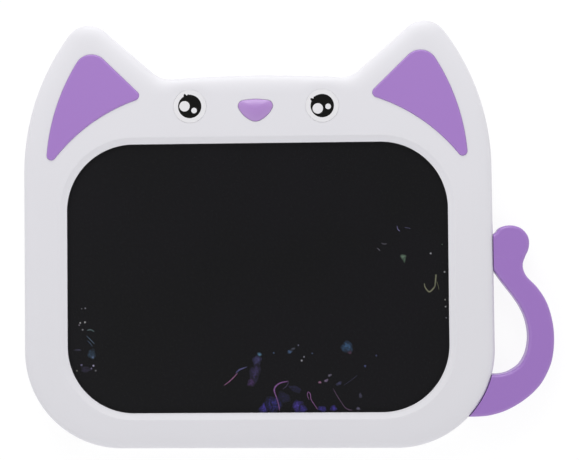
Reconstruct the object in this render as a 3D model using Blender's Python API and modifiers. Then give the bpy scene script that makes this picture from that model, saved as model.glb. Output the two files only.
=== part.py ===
"""A writing tablet with a liquid crystal film in an animal-head casing with ears and a tail handle.

The tablet lies on its back: +Z comes out of the screen, +X runs towards the tail handle and +Y towards
the ears. The origin is under the middle of the window, on the flat back. All sizes are in metres.
"""

import math

import bmesh
import bpy

# Fits and general modelling values
FIT_GAP = 0.0003
OVERRUN = 0.004
SINK = 0.0004
SAME_PLACE = 0.00001
WELD_REACH = 0.00002
ARC_STEP = 10.0
WIDE_ARC_STEP = 5.0
ROUND_SIDES = 16
SMALL_SIDES = 10
SHARP_ANGLE = 35.0

# Casing outline
BODY_HALF_WIDTH = 0.109
BODY_BOTTOM = 0.0791
CORNER_RADIUS = 0.0454
SIDE_TOP = 0.0495
EAR_ARC_MIDDLE = 0.001
EAR_TIP_RADIUS = 0.0117
EAR_EDGE_X = 0.0606
EAR_EDGE_Y = 0.1071
EAR_EDGE_ANGLE = 41.2
VALLEY_RADIUS = 0.0125
CROWN_HEIGHT = 0.0943
CROWN_RADIUS = 0.58

# Casing shells
BODY_DEPTH = 0.014
PARTING_HEIGHT = 0.008
WALL = 0.0022
PLATE_THICKNESS = 0.002
BASE_THICKNESS = 0.002
FRONT_ROUND = 0.004
BACK_ROUND = 0.003
INNER_ROUND = 0.0022
ROUND_SEGMENTS = 3
INNER_SEGMENTS = 2

# Window and the screen stack behind it
WINDOW_HALF_WIDTH = 0.0883
WINDOW_HALF_HEIGHT = 0.0623
WINDOW_RADIUS = 0.0309
BEVEL_WIDTH = 0.0029
BEVEL_DEPTH = 0.0013
FILM_MARGIN = 0.004
FILM_THICKNESS = 0.0006
TAPE_SETBACK = 0.001
TAPE_THICKNESS = 0.0004
BACKING_THICKNESS = 0.0012

# Ear inlays
INLAY_INSET = 0.0108
INLAY_TIP_RADIUS = 0.0084
INLAY_OUTER_RADIUS = 0.0025
INLAY_INNER_RADIUS = 0.0026
INLAY_EDGE_X = 0.0553
INLAY_EDGE_Y = 0.0876
INLAY_EDGE_ANGLE = 44.2
INLAY_HOLLOW_RADIUS = 0.0817
INLAY_HOLLOW_X = 0.0294
INLAY_HOLLOW_Y = 0.0052
POCKET_DEPTH = 0.0012
INLAY_PROUD = 0.0006
INLAY_ROUND = 0.0006
STAKE_RADIUS = 0.0012
STAKE_REACH = 0.001
INLAY_STAKES = ((0.0765, 0.0985), (0.066, 0.0875), (0.0875, 0.0745))

# Eye caps
EYE_X = 0.0307
EYE_Y = 0.0795
EYE_RADIUS = 0.0075
EYE_PROUD = 0.0002
EYE_ROUND = 0.0002

# Nose button and its switch
NOSE_HALF_WIDTH = 0.008
NOSE_TOP = 0.083
NOSE_SIDE_Y = 0.0775
NOSE_POINT = 0.0709
NOSE_CROWN = 0.0006
NOSE_CROWN_RADIUS = 0.012
NOSE_TOP_RADIUS = 0.0031
NOSE_SIDE_RADIUS = 0.0034
NOSE_POINT_RADIUS = 0.006
NOSE_PROUD = 0.0014
NOSE_ROUND = 0.001
NOSE_FLANGE = 0.0012
NOSE_FLANGE_THICKNESS = 0.0008
NOSE_STEM_RADIUS = 0.0016
NOSE_TRAVEL = 0.0005
SWITCH_Y = 0.0777
SWITCH_HALF_SIDE = 0.003
SWITCH_HEIGHT = 0.0023
SWITCH_FLOOR = 0.0005
PLUNGER_RADIUS = 0.0017
PLUNGER_LENGTH = 0.0018

# Circuit board in the strip behind the eyes and nose
BOARD_LEFT = 0.036
BOARD_RIGHT = 0.0405
BOARD_LOW_Y = 0.069
BOARD_HIGH_Y = 0.0872
BOARD_THICKNESS = 0.0012
BOARD_SCREW_XS = (-0.0322, 0.0374)
BOARD_SCREW_YS = (0.0718, 0.0842)
BOARD_SHANK_RADIUS = 0.0008
BOARD_HEAD_RADIUS = 0.0017
BOARD_HEAD_HEIGHT = 0.001
BOARD_SCREW_DEPTH = 0.003
BOARD_POST_RADIUS = 0.0025
CHIP_X = 0.018
CHIP_Y = 0.0785
CHIP_RADIUS = 0.0038
CHIP_HEIGHT = 0.0013
RIBBON_X = -0.014
RIBBON_WIDTH = 0.012
RIBBON_THICKNESS = 0.0002
RIBBON_FLAT = 0.003
RIBBON_DROP = 0.004
RIBBON_PAD = 0.003

# Coin cell, its well and contacts
CELL_X = 0.022
CELL_Y = 0.077
CELL_RADIUS = 0.01
CELL_HEIGHT = 0.0025
CELL_CAP_RADIUS = 0.0088
CELL_CAP_HEIGHT = 0.0004
CELL_EDGE = 0.0003
CONTACT_RISE = 0.0008
CONTACT_THICKNESS = 0.0002
CONTACT_WIDTH = 0.004
CONTACT_HALF_LENGTH = 0.006
CONTACT_FOOT = 0.003
WELL_HALF_WIDTH = 0.0184
WELL_HALF_HEIGHT = 0.0126
WELL_SLOT_DEPTH = 0.0015

# Battery door
DOOR_HALF_WIDTH = 0.017
DOOR_HALF_HEIGHT = 0.011
DOOR_RECESS = 0.0002
DOOR_THICKNESS = 0.0015
DOOR_PIN_RADIUS = 0.0005
DOOR_PIN_LENGTH = 0.001
DOOR_SCREW_INSET = 0.0028
DOOR_SHANK_RADIUS = 0.0008
DOOR_HEAD_RADIUS = 0.0018
DOOR_HEAD_HEIGHT = 0.0006
DOOR_SCREW_LENGTH = 0.0034
DOOR_GRIP_RIBS = 4
DOOR_GRIP_WIDTH = 0.0006
DOOR_GRIP_DEPTH = 0.0004
DOOR_GRIP_HALF_LENGTH = 0.004
DOOR_GRIP_PITCH = 0.0014

# Lock slider and its switch
LOCK_X = -0.0235
LOCK_Y = 0.0785
LOCK_TRAVEL = 0.003
LOCK_PLATE_HALF_WIDTH = 0.0065
LOCK_PLATE_HALF_HEIGHT = 0.0035
LOCK_PLATE_THICKNESS = 0.0007
LOCK_KNOB_HALF_WIDTH = 0.0025
LOCK_KNOB_HALF_HEIGHT = 0.0016
LOCK_KNOB_SETBACK = 0.0002
LOCK_GRIP_GROOVES = 3
LOCK_GRIP_PITCH = 0.0014
LOCK_GRIP_WIDTH = 0.0005
LOCK_DISH_MARGIN = 0.0022
LOCK_DISH_DEPTH = 0.0006
LOCK_GUIDE_WIDTH = 0.001
LOCK_LUG_WIDTH = 0.001
LOCK_LUG_HEIGHT = 0.0007
LOCK_STEM_HALF_WIDTH = 0.0007
LOCK_STEM_HALF_HEIGHT = 0.0008
LOCK_STEM_LENGTH = 0.0017
LOCK_BODY_HALF_WIDTH = 0.0045
LOCK_BODY_HALF_HEIGHT = 0.0018
LOCK_BODY_HEIGHT = 0.0015
LOCK_SLOT_DEPTH = 0.0011

# Case screws and their bosses
BOSS_RADIUS = 0.0037
SHANK_RADIUS = 0.0013
HEAD_RADIUS = 0.0025
HEAD_HEIGHT = 0.0015
HEAD_SETBACK = 0.0007
SCREW_END_DEPTH = 0.001
BOSS_INSET = 0.0095
SIDE_BOSS_Y = 0.012
EAR_BOSS_X = 0.085
EAR_BOSS_Y = 0.085
TOP_BOSS_X = 0.0468
TOP_BOSS_Y = 0.0765
BOTTOM_BOSS_X = 0.046
BOTTOM_BOSS_INSET = 0.0073
ROOT_BOSS_ANGLE = -35.0

# Ribs inside the back
RIB_THICKNESS = 0.0012
RIB_HALF_WIDTH = 0.084
RIB_HALF_HEIGHT = 0.058
UPRIGHT_RIBS = 6
LEVEL_RIBS = 4

# Stylus and its channel along the bottom edge
STYLUS_RADIUS = 0.0031
STYLUS_INSET = 0.0074
STYLUS_HEIGHT = 0.0043
STYLUS_MOUTH_INSET = 0.0275
BARREL_LENGTH = 0.094
BARREL_BORE = 0.002
NIB_LENGTH = 0.008
NIB_POINT_RADIUS = 0.0009
NIB_CONE = 0.0065
CAP_LENGTH = 0.009
CAP_DOME = 0.0012
CAP_GROOVES = 3
CAP_GROOVE_DEPTH = 0.0003
CAP_GROOVE_WIDTH = 0.0008
SPIGOT_LENGTH = 0.004
CHANNEL_WALL = 0.0014
CHANNEL_HEIGHT = 0.0054
CHANNEL_SLOT_HALF = 0.0023
CHANNEL_SLOT_END = 0.006
CHANNEL_END_WALL = 0.002

# Tail handle
TAIL_REACH = 0.0276
TAIL_TOP = 0.023
TAIL_LENGTH = 0.0878
TAIL_THICKNESS = 0.0108
TAIL_BACK = 0.0016
TAIL_ROUND = 0.0014
TAIL_INNER_SHARES = (
    (-0.208, 0.796), (-0.041, 0.794), (0.164, 0.767), (0.342, 0.730), (0.468, 0.677), (0.532, 0.585),
    (0.491, 0.490), (0.364, 0.399), (0.197, 0.326), (0.030, 0.255), (-0.033, 0.205),
)
TAIL_OUTER_SHARES = (
    (0.060, 0.018), (0.283, 0.000), (0.509, 0.026), (0.599, 0.097), (0.535, 0.164), (0.483, 0.210),
    (0.543, 0.262), (0.732, 0.330), (0.885, 0.408), (0.974, 0.511), (0.996, 0.614), (0.948, 0.715),
    (0.803, 0.810), (0.569, 0.893), (0.245, 0.954), (-0.071, 0.987), (-0.364, 1.000), (-0.502, 1.000),
)
TAIL_ROOT_SHARES = ((-0.700, 0.970), (-0.500, 0.770))
TAIL_SEAT_SHARES = ((-0.260, 0.215), (-0.260, 0.020))
TAIL_CURVE_STEPS = 3
TONGUE_WIDTH = 0.009
TONGUE_THICKNESS = 0.004
TONGUE_BACK = 0.006
TONGUE_BEYOND = 0.0036
TONGUE_ROOT = 0.003

# Heights that follow from the sizes above
FRONT_LOW = PARTING_HEIGHT + FIT_GAP / 2
REAR_HIGH = PARTING_HEIGHT - FIT_GAP / 2
PLATE_UNDER = BODY_DEPTH - PLATE_THICKNESS
POCKET_FLOOR = BODY_DEPTH - POCKET_DEPTH
TAPE_HIGH = PLATE_UNDER - FIT_GAP
FILM_HIGH = TAPE_HIGH - TAPE_THICKNESS - FIT_GAP
BACKING_HIGH = FILM_HIGH - FILM_THICKNESS - FIT_GAP
RIB_HIGH = BACKING_HIGH - BACKING_THICKNESS - FIT_GAP
DOOR_HIGH = DOOR_RECESS + DOOR_THICKNESS
WELL_FLOOR = DOOR_HIGH + FIT_GAP
CELL_LOW = DOOR_HIGH + FIT_GAP
CELL_HIGH = CELL_LOW + CELL_HEIGHT
BOARD_LOW = CELL_HIGH + FIT_GAP + CONTACT_RISE + FIT_GAP
BOARD_HIGH = BOARD_LOW + BOARD_THICKNESS
SWITCH_LOW = BOARD_HIGH + FIT_GAP
SWITCH_HIGH = SWITCH_LOW + SWITCH_HEIGHT
PLUNGER_HIGH = SWITCH_HIGH + NOSE_TRAVEL + FIT_GAP
NOSE_STEM_LOW = PLUNGER_HIGH + FIT_GAP
NOSE_FLANGE_HIGH = PLATE_UNDER - FIT_GAP
LOCK_PLATE_LOW = BASE_THICKNESS + FIT_GAP
LOCK_PLATE_HIGH = LOCK_PLATE_LOW + LOCK_PLATE_THICKNESS
LOCK_BODY_HIGH = BOARD_LOW - FIT_GAP
LOCK_BODY_LOW = LOCK_BODY_HIGH - LOCK_BODY_HEIGHT
DOOR_HINGE_X = CELL_X - DOOR_HALF_WIDTH + DOOR_THICKNESS / 2
DOOR_HINGE_HEIGHT = DOOR_RECESS + DOOR_THICKNESS / 2
SCREW_HEAD_HIGH = HEAD_SETBACK + HEAD_HEIGHT
SCREW_END = PLATE_UNDER - SCREW_END_DEPTH
TONGUE_HIGH = TONGUE_BACK + TONGUE_THICKNESS

# Places that follow from the casing outline
CORNER_X = BODY_HALF_WIDTH - CORNER_RADIUS
CORNER_Y = CORNER_RADIUS - BODY_BOTTOM
STYLUS_MOUTH = STYLUS_MOUTH_INSET - BODY_HALF_WIDTH
STYLUS_Y = STYLUS_INSET - BODY_BOTTOM
SIDE_BOSS_X = BODY_HALF_WIDTH - BOSS_INSET
ROOT_BOSS_X = CORNER_X + (CORNER_RADIUS - BOSS_INSET) * math.cos(math.radians(ROOT_BOSS_ANGLE))
ROOT_BOSS_Y = CORNER_Y + (CORNER_RADIUS - BOSS_INSET) * math.sin(math.radians(ROOT_BOSS_ANGLE))
BOTTOM_BOSS_Y = BOTTOM_BOSS_INSET - BODY_BOTTOM
CASE_SCREWS = (
    (SIDE_BOSS_X, SIDE_BOSS_Y), (-SIDE_BOSS_X, SIDE_BOSS_Y),
    (ROOT_BOSS_X, ROOT_BOSS_Y), (-ROOT_BOSS_X, ROOT_BOSS_Y),
    (EAR_BOSS_X, EAR_BOSS_Y), (-EAR_BOSS_X, EAR_BOSS_Y),
    (TOP_BOSS_X, TOP_BOSS_Y), (-TOP_BOSS_X, TOP_BOSS_Y),
    (BOTTOM_BOSS_X, BOTTOM_BOSS_Y),
)
TAIL_SCREWS = CASE_SCREWS[0], CASE_SCREWS[2]


# Scene, collections and materials
for old in list(bpy.data.objects):
    bpy.data.objects.remove(old)
PARTS = bpy.data.collections.new("lcd_writing_tablet")
CUTTERS = bpy.data.collections.new("cutters")
bpy.context.scene.collection.children.link(PARTS)
bpy.context.scene.collection.children.link(CUTTERS)


def linear(channel):
    """One sRGB channel, 0 to 255, as linear light."""
    share = channel / 255
    return share / 12.92 if share <= 0.04045 else ((share + 0.055) / 1.055) ** 2.4


def finish(name, red, green, blue, roughness, metallic=0.0):
    """A Principled material with the part's colour, roughness and metallic value."""
    made = bpy.data.materials.new(name)
    made.use_nodes = True
    shader = made.node_tree.nodes["Principled BSDF"]
    shader.inputs["Base Color"].default_value = (linear(red), linear(green), linear(blue), 1)
    shader.inputs["Roughness"].default_value = roughness
    shader.inputs["Metallic"].default_value = metallic
    made.diffuse_color = (linear(red), linear(green), linear(blue), 1)
    return made


# Helpers that make one closed body each
def placed(name, mesh, home=None):
    """A mesh as an object in a collection, among the cutters unless another is given."""
    solid = bpy.data.objects.new(name, mesh)
    (home or CUTTERS).objects.link(solid)
    return solid


def box(name, low, high):
    """A block between two opposite corners."""
    mesh = bpy.data.meshes.new(name)
    shape = bmesh.new()
    bmesh.ops.create_cube(shape, size=1)
    bmesh.ops.scale(shape, vec=[b - a for a, b in zip(low, high)], verts=shape.verts)
    bmesh.ops.translate(shape, vec=[(a + b) / 2 for a, b in zip(low, high)], verts=shape.verts)
    shape.to_mesh(mesh)
    shape.free()
    return placed(name, mesh)


def rod(name, x, y, radius, low, high, sides=ROUND_SIDES, top_radius=None):
    """An upright cylinder, or a cone where the top has a radius of its own."""
    mesh = bpy.data.meshes.new(name)
    shape = bmesh.new()
    top = radius if top_radius is None else top_radius
    bmesh.ops.create_cone(
        shape, cap_ends=True, segments=sides, radius1=radius, radius2=top, depth=high - low)
    bmesh.ops.translate(shape, vec=(x, y, (low + high) / 2), verts=shape.verts)
    shape.to_mesh(mesh)
    shape.free()
    return placed(name, mesh)


def level_rod(name, axis, start, end, across, height, radius, sides=ROUND_SIDES):
    """A cylinder that lies along X or Y, from start to end, at one place across and one height."""
    solid = rod(name, 0, 0, radius, start, end, sides)
    if axis == "X":
        solid.rotation_euler = (0, math.pi / 2, 0)
        solid.location = (0, across, height)
    else:
        solid.rotation_euler = (-math.pi / 2, 0, 0)
        solid.location = (across, 0, height)
    return solid


def meshed(flat, name):
    """A curve object made a closed mesh object of the same place, its caps welded to its sides."""
    bpy.context.view_layer.update()
    graph = bpy.context.evaluated_depsgraph_get()
    mesh = bpy.data.meshes.new_from_object(flat.evaluated_get(graph))
    shape = bmesh.new()
    shape.from_mesh(mesh)
    bmesh.ops.remove_doubles(shape, verts=shape.verts, dist=WELD_REACH)
    bmesh.ops.dissolve_limit(
        shape, angle_limit=math.radians(1), verts=shape.verts, edges=shape.edges)
    bmesh.ops.recalc_face_normals(shape, faces=shape.faces)
    shape.to_mesh(mesh)
    shape.free()
    solid = placed(name, mesh)
    solid.matrix_world = flat.matrix_world.copy()
    bpy.data.objects.remove(flat)
    return solid


def slab(name, outlines, low, high):
    """A flat plate between two heights: the first outline less any others inside it."""
    data = bpy.data.curves.new(name, "CURVE")
    data.dimensions = "2D"
    data.fill_mode = "BOTH"
    data.extrude = (high - low) / 2
    for outline in outlines:
        spline = data.splines.new("POLY")
        spline.points.add(len(outline) - 1)
        for point, (x, y) in zip(spline.points, outline):
            point.co = (x, y, 0, 1)
        spline.use_cyclic_u = True
    flat = bpy.data.objects.new("flat outline", data)
    CUTTERS.objects.link(flat)
    flat.location = (0, 0, (low + high) / 2)
    return meshed(flat, name)


def loft(name, sections):
    """A plug through outlines of equally many points, each with its height, lowest first."""
    mesh = bpy.data.meshes.new(name)
    shape = bmesh.new()
    rings = [[shape.verts.new((x, y, height)) for x, y in outline] for outline, height in sections]
    count = len(rings[0])
    for lower, upper in zip(rings, rings[1:]):
        for at in range(count):
            after = (at + 1) % count
            shape.faces.new((lower[at], lower[after], upper[after], upper[at]))
    shape.faces.new(rings[0][::-1])
    shape.faces.new(rings[-1])
    bmesh.ops.recalc_face_normals(shape, faces=shape.faces)
    shape.to_mesh(mesh)
    shape.free()
    return placed(name, mesh)


def turned(name, profile, sides=ROUND_SIDES):
    """A profile of (radius, height) points, top to bottom, turned about Z with a Screw modifier."""
    mesh = bpy.data.meshes.new(name)
    shape = bmesh.new()
    points = [shape.verts.new((radius, 0, height)) for radius, height in profile]
    for upper, lower in zip(points, points[1:]):
        shape.edges.new((upper, lower))
    shape.to_mesh(mesh)
    shape.free()
    solid = placed(name, mesh)
    screw = solid.modifiers.new("Turned", "SCREW")
    screw.steps = sides
    screw.render_steps = sides
    screw.use_merge_vertices = True
    screw.merge_threshold = WELD_REACH
    return solid


def strip(name, path, width, turn, place, thickness):
    """A bent metal or plastic strip: a path drawn out to its width, then given its thickness."""
    data = bpy.data.curves.new(name, "CURVE")
    data.dimensions = "2D"
    data.fill_mode = "NONE"
    data.extrude = width / 2
    spline = data.splines.new("POLY")
    spline.points.add(len(path) - 1)
    for point, (across, up) in zip(spline.points, path):
        point.co = (across, up, 0, 1)
    flat = bpy.data.objects.new("flat path", data)
    CUTTERS.objects.link(flat)
    flat.rotation_euler = turn
    flat.location = place
    solid = meshed(flat, name)
    wall = solid.modifiers.new("Thickness", "SOLIDIFY")
    wall.thickness = thickness
    wall.offset = 0
    return solid


def rounded(solid, heights, radius, segments):
    """Rounds the rims that lie at the given heights with a Bevel on weighted edges."""
    shape = bmesh.new()
    shape.from_mesh(solid.data)
    weight = shape.edges.layers.float.new("bevel_weight_edge")
    for edge in shape.edges:
        ends = [solid.matrix_world @ vertex.co for vertex in edge.verts]
        for height in heights:
            level = all(abs(end.z - height) < SAME_PLACE for end in ends)
            if level and edge.calc_face_angle() > math.radians(SHARP_ANGLE):
                edge[weight] = 1
    shape.to_mesh(solid.data)
    shape.free()
    bevel = solid.modifiers.new("Rounded rim", "BEVEL")
    bevel.limit_method = "WEIGHT"
    bevel.width = radius
    bevel.segments = segments
    bevel.use_clamp_overlap = False
    return solid


def worked(solid, operation, helpers):
    """Joins helpers to a solid or cuts them from it with one Boolean over their collection."""
    group = bpy.data.collections.new(f"{solid.name} {operation.lower()}")
    CUTTERS.children.link(group)
    for helper in helpers:
        for home in list(helper.users_collection):
            home.objects.unlink(helper)
        group.objects.link(helper)
        helper.hide_render = True
        helper.display_type = "WIRE"
    step = solid.modifiers.new(operation.capitalize(), "BOOLEAN")
    step.operand_type = "COLLECTION"
    step.collection = group
    step.operation = operation
    step.solver = "EXACT"
    return solid


def node(solid, material):
    """Makes a finished solid one of the part's named pieces."""
    for home in list(solid.users_collection):
        home.objects.unlink(solid)
    PARTS.objects.link(solid)
    solid.data.materials.clear()
    solid.data.materials.append(material)
    solid.data.shade_smooth()
    solid.data.set_sharp_from_angle(angle=math.radians(SHARP_ANGLE))
    return solid


# Outlines, as lists of (x, y) points that run anticlockwise
def arc(middle, radius, start, end, step=ARC_STEP):
    """Points along an arc between two angles in degrees."""
    pieces = max(1, math.ceil(abs(end - start) / step))
    angles = [math.radians(start + (end - start) * at / pieces) for at in range(pieces + 1)]
    return [(middle[0] + radius * math.cos(a), middle[1] + radius * math.sin(a)) for a in angles]


def heading(start, end):
    """The direction in degrees from one point to another."""
    return math.degrees(math.atan2(end[1] - start[1], end[0] - start[0]))


def beside(x, y, angle, distance):
    """The point at a distance to the left of a direction that is given in degrees."""
    return (x - distance * math.sin(math.radians(angle)), y + distance * math.cos(math.radians(angle)))


def line_meets_circle(point, angle, middle, radius, far):
    """Where a line through a point crosses a circle: the far crossing along its direction or the near."""
    along = (math.cos(math.radians(angle)), math.sin(math.radians(angle)))
    away = (point[0] - middle[0], point[1] - middle[1])
    half = away[0] * along[0] + away[1] * along[1]
    root = math.sqrt(half ** 2 - away[0] ** 2 - away[1] ** 2 + radius ** 2)
    reach = root - half if far else -root - half
    return (point[0] + along[0] * reach, point[1] + along[1] * reach)


def circles_meet(first, first_radius, second, second_radius):
    """The crossing of two circles on the left of the way from the first middle to the second."""
    across = (second[0] - first[0], second[1] - first[1])
    span = math.hypot(*across)
    along = (first_radius ** 2 - second_radius ** 2 + span ** 2) / (2 * span)
    aside = math.sqrt(first_radius ** 2 - along ** 2)
    return (first[0] + (along * across[0] - aside * across[1]) / span,
            first[1] + (along * across[1] + aside * across[0]) / span)


def mirrored(outline):
    """The outline on the other side of the tablet, still anticlockwise."""
    return [(-x, y) for x, y in reversed(outline)]


def body_outline(inset=0.0):
    """The casing's outline, or one parallel to it: corners, sides, ears and crown as tangent arcs."""
    side_middle = (EAR_ARC_MIDDLE, SIDE_TOP)
    side_radius = BODY_HALF_WIDTH - EAR_ARC_MIDDLE
    crown_middle = (0, CROWN_HEIGHT - CROWN_RADIUS)
    tip_line = beside(EAR_EDGE_X, EAR_EDGE_Y, EAR_EDGE_ANGLE, -EAR_TIP_RADIUS)
    valley_line = beside(EAR_EDGE_X, EAR_EDGE_Y, EAR_EDGE_ANGLE, VALLEY_RADIUS)
    tip = line_meets_circle(
        tip_line, EAR_EDGE_ANGLE, side_middle, side_radius - EAR_TIP_RADIUS, far=True)
    valley = line_meets_circle(
        valley_line, EAR_EDGE_ANGLE, crown_middle, CROWN_RADIUS + VALLEY_RADIUS, far=True)
    tip_start = heading(side_middle, tip)
    valley_end = heading(valley, crown_middle)
    right = arc((CORNER_X, CORNER_Y), CORNER_RADIUS - inset, -90, 0)
    right += arc(side_middle, side_radius - inset, 0, tip_start, WIDE_ARC_STEP)
    right += arc(tip, EAR_TIP_RADIUS - inset, tip_start, 90 + EAR_EDGE_ANGLE)
    right += arc(valley, VALLEY_RADIUS + inset, EAR_EDGE_ANGLE - 90, valley_end)
    right += arc(crown_middle, CROWN_RADIUS - inset, valley_end + 180, 90, WIDE_ARC_STEP)
    return right + mirrored(right[:-1])


def window_outline(outset=0.0):
    """The window's rounded rectangle, or one parallel to it."""
    radius = WINDOW_RADIUS + outset
    x = WINDOW_HALF_WIDTH - WINDOW_RADIUS
    y = WINDOW_HALF_HEIGHT - WINDOW_RADIUS
    corners = ((x, y, 0), (-x, y, 90), (-x, -y, 180), (x, -y, 270))
    return [spot for cx, cy, start in corners for spot in arc((cx, cy), radius, start, start + 90)]


def inlay_outline(outset=0.0):
    """The right ear inlay: an arc parallel to the ear, a straight inner edge and a hollow lower edge."""
    outer_middle = (EAR_ARC_MIDDLE, SIDE_TOP)
    outer_radius = BODY_HALF_WIDTH - EAR_ARC_MIDDLE - INLAY_INSET
    hollow_middle = (INLAY_HOLLOW_X, INLAY_HOLLOW_Y)
    tip_line = beside(INLAY_EDGE_X, INLAY_EDGE_Y, INLAY_EDGE_ANGLE, -INLAY_TIP_RADIUS)
    inner_line = beside(INLAY_EDGE_X, INLAY_EDGE_Y, INLAY_EDGE_ANGLE, -INLAY_INNER_RADIUS)
    tip = line_meets_circle(
        tip_line, INLAY_EDGE_ANGLE, outer_middle, outer_radius - INLAY_TIP_RADIUS, far=True)
    inner = line_meets_circle(
        inner_line, INLAY_EDGE_ANGLE, hollow_middle, INLAY_HOLLOW_RADIUS + INLAY_INNER_RADIUS, far=True)
    outer = circles_meet(
        outer_middle, outer_radius - INLAY_OUTER_RADIUS,
        hollow_middle, INLAY_HOLLOW_RADIUS + INLAY_OUTER_RADIUS)
    outer_start = heading(outer_middle, outer)
    tip_start = heading(outer_middle, tip)
    hollow_start = heading(hollow_middle, inner)
    hollow_end = heading(hollow_middle, outer)
    outline = arc(outer_middle, outer_radius + outset, outer_start, tip_start, WIDE_ARC_STEP)
    outline += arc(tip, INLAY_TIP_RADIUS + outset, tip_start, 90 + INLAY_EDGE_ANGLE)
    outline += arc(inner, INLAY_INNER_RADIUS + outset, 90 + INLAY_EDGE_ANGLE, 180 + hollow_start, 20)
    outline += arc(hollow_middle, INLAY_HOLLOW_RADIUS - outset, hollow_start, hollow_end, WIDE_ARC_STEP)
    outline += arc(outer, INLAY_OUTER_RADIUS + outset, hollow_end - 180, outer_start, 20)
    return outline


def softened(corners):
    """A closed outline of straight edges whose corners are rounded: corners are (x, y, radius)."""
    outline = []
    for at, (x, y, radius) in enumerate(corners):
        before = heading((x, y), corners[at - 1][:2])
        after = heading((x, y), corners[(at + 1) % len(corners)][:2])
        between = (before - after) % 360
        middle_angle = math.radians(after + between / 2)
        reach = radius / math.sin(math.radians(between / 2))
        middle = (x + reach * math.cos(middle_angle), y + reach * math.sin(middle_angle))
        outline += arc(middle, radius, before + 90, before + 90 + 180 - between, 15)
    return outline


def nose_outline(outset=0.0):
    """The nose button: a broad top, short sides and a blunt point."""
    half = NOSE_HALF_WIDTH + outset
    slope = heading((0, NOSE_POINT), (NOSE_HALF_WIDTH, NOSE_SIDE_Y))
    point_drop = outset / math.cos(math.radians(slope))
    side_drop = point_drop - outset * math.tan(math.radians(slope))
    top = NOSE_TOP + outset
    shoulder = top - NOSE_CROWN
    side = NOSE_SIDE_Y - side_drop
    return softened((
        (0, NOSE_POINT - point_drop, NOSE_POINT_RADIUS + outset),
        (half, side, NOSE_SIDE_RADIUS + outset),
        (half, shoulder, NOSE_TOP_RADIUS + outset),
        (0, top, NOSE_CROWN_RADIUS + outset),
        (-half, shoulder, NOSE_TOP_RADIUS + outset),
        (-half, side, NOSE_SIDE_RADIUS + outset),
    ))


def smooth_run(points):
    """A smooth curve through points: between two of them it heads as their neighbours do."""
    run = []
    for at in range(len(points) - 1):
        a = points[max(at - 1, 0)]
        b = points[at]
        c = points[at + 1]
        d = points[min(at + 2, len(points) - 1)]
        for step in range(TAIL_CURVE_STEPS):
            t = step / TAIL_CURVE_STEPS
            run.append(tuple(
                (2 * q + (r - p) * t + (2 * p - 5 * q + 4 * r - s) * t ** 2
                 + (3 * q - p - 3 * r + s) * t ** 3) / 2
                for p, q, r, s in zip(a, b, c, d)))
    return run + [points[-1]]


def tail_points(shares):
    """Places on the tail, given as shares of its reach from the casing's side and of its length."""
    return [(BODY_HALF_WIDTH + TAIL_REACH * x, TAIL_TOP - TAIL_LENGTH * y) for x, y in shares]


def tail_outline():
    """The curled tail, run on a little way into the casing, which then cuts it to its seat."""
    outer = smooth_run(tail_points(TAIL_OUTER_SHARES))
    inner = smooth_run(tail_points(TAIL_INNER_SHARES))
    return (outer + tail_points(TAIL_ROOT_SHARES) + inner + tail_points(TAIL_SEAT_SHARES))[::-1]


def casing_form(name, outset=0.0):
    """The whole casing's outer form, grown by a clearance."""
    form = slab(name, [body_outline(-outset)], -outset, BODY_DEPTH + outset)
    rounded(form, [BODY_DEPTH + outset], FRONT_ROUND + outset, ROUND_SEGMENTS)
    return form


def tail_tongue(name, spot, grown=0.0):
    """A tongue that runs from the tail through the casing's wall, over the boss at one spot."""
    x, y = spot
    angle = 0.0 if y > 0 else ROOT_BOSS_ANGLE
    end = BOSS_INSET + TONGUE_ROOT
    low = (-TONGUE_BEYOND - grown, -TONGUE_WIDTH / 2 - grown, TONGUE_BACK - grown)
    high = (end + grown, TONGUE_WIDTH / 2 + grown, TONGUE_HIGH + grown)
    tongue = box(name, low, high)
    tongue.rotation_euler = (0, 0, math.radians(angle))
    tongue.location = (x, y, 0)
    return tongue


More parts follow.
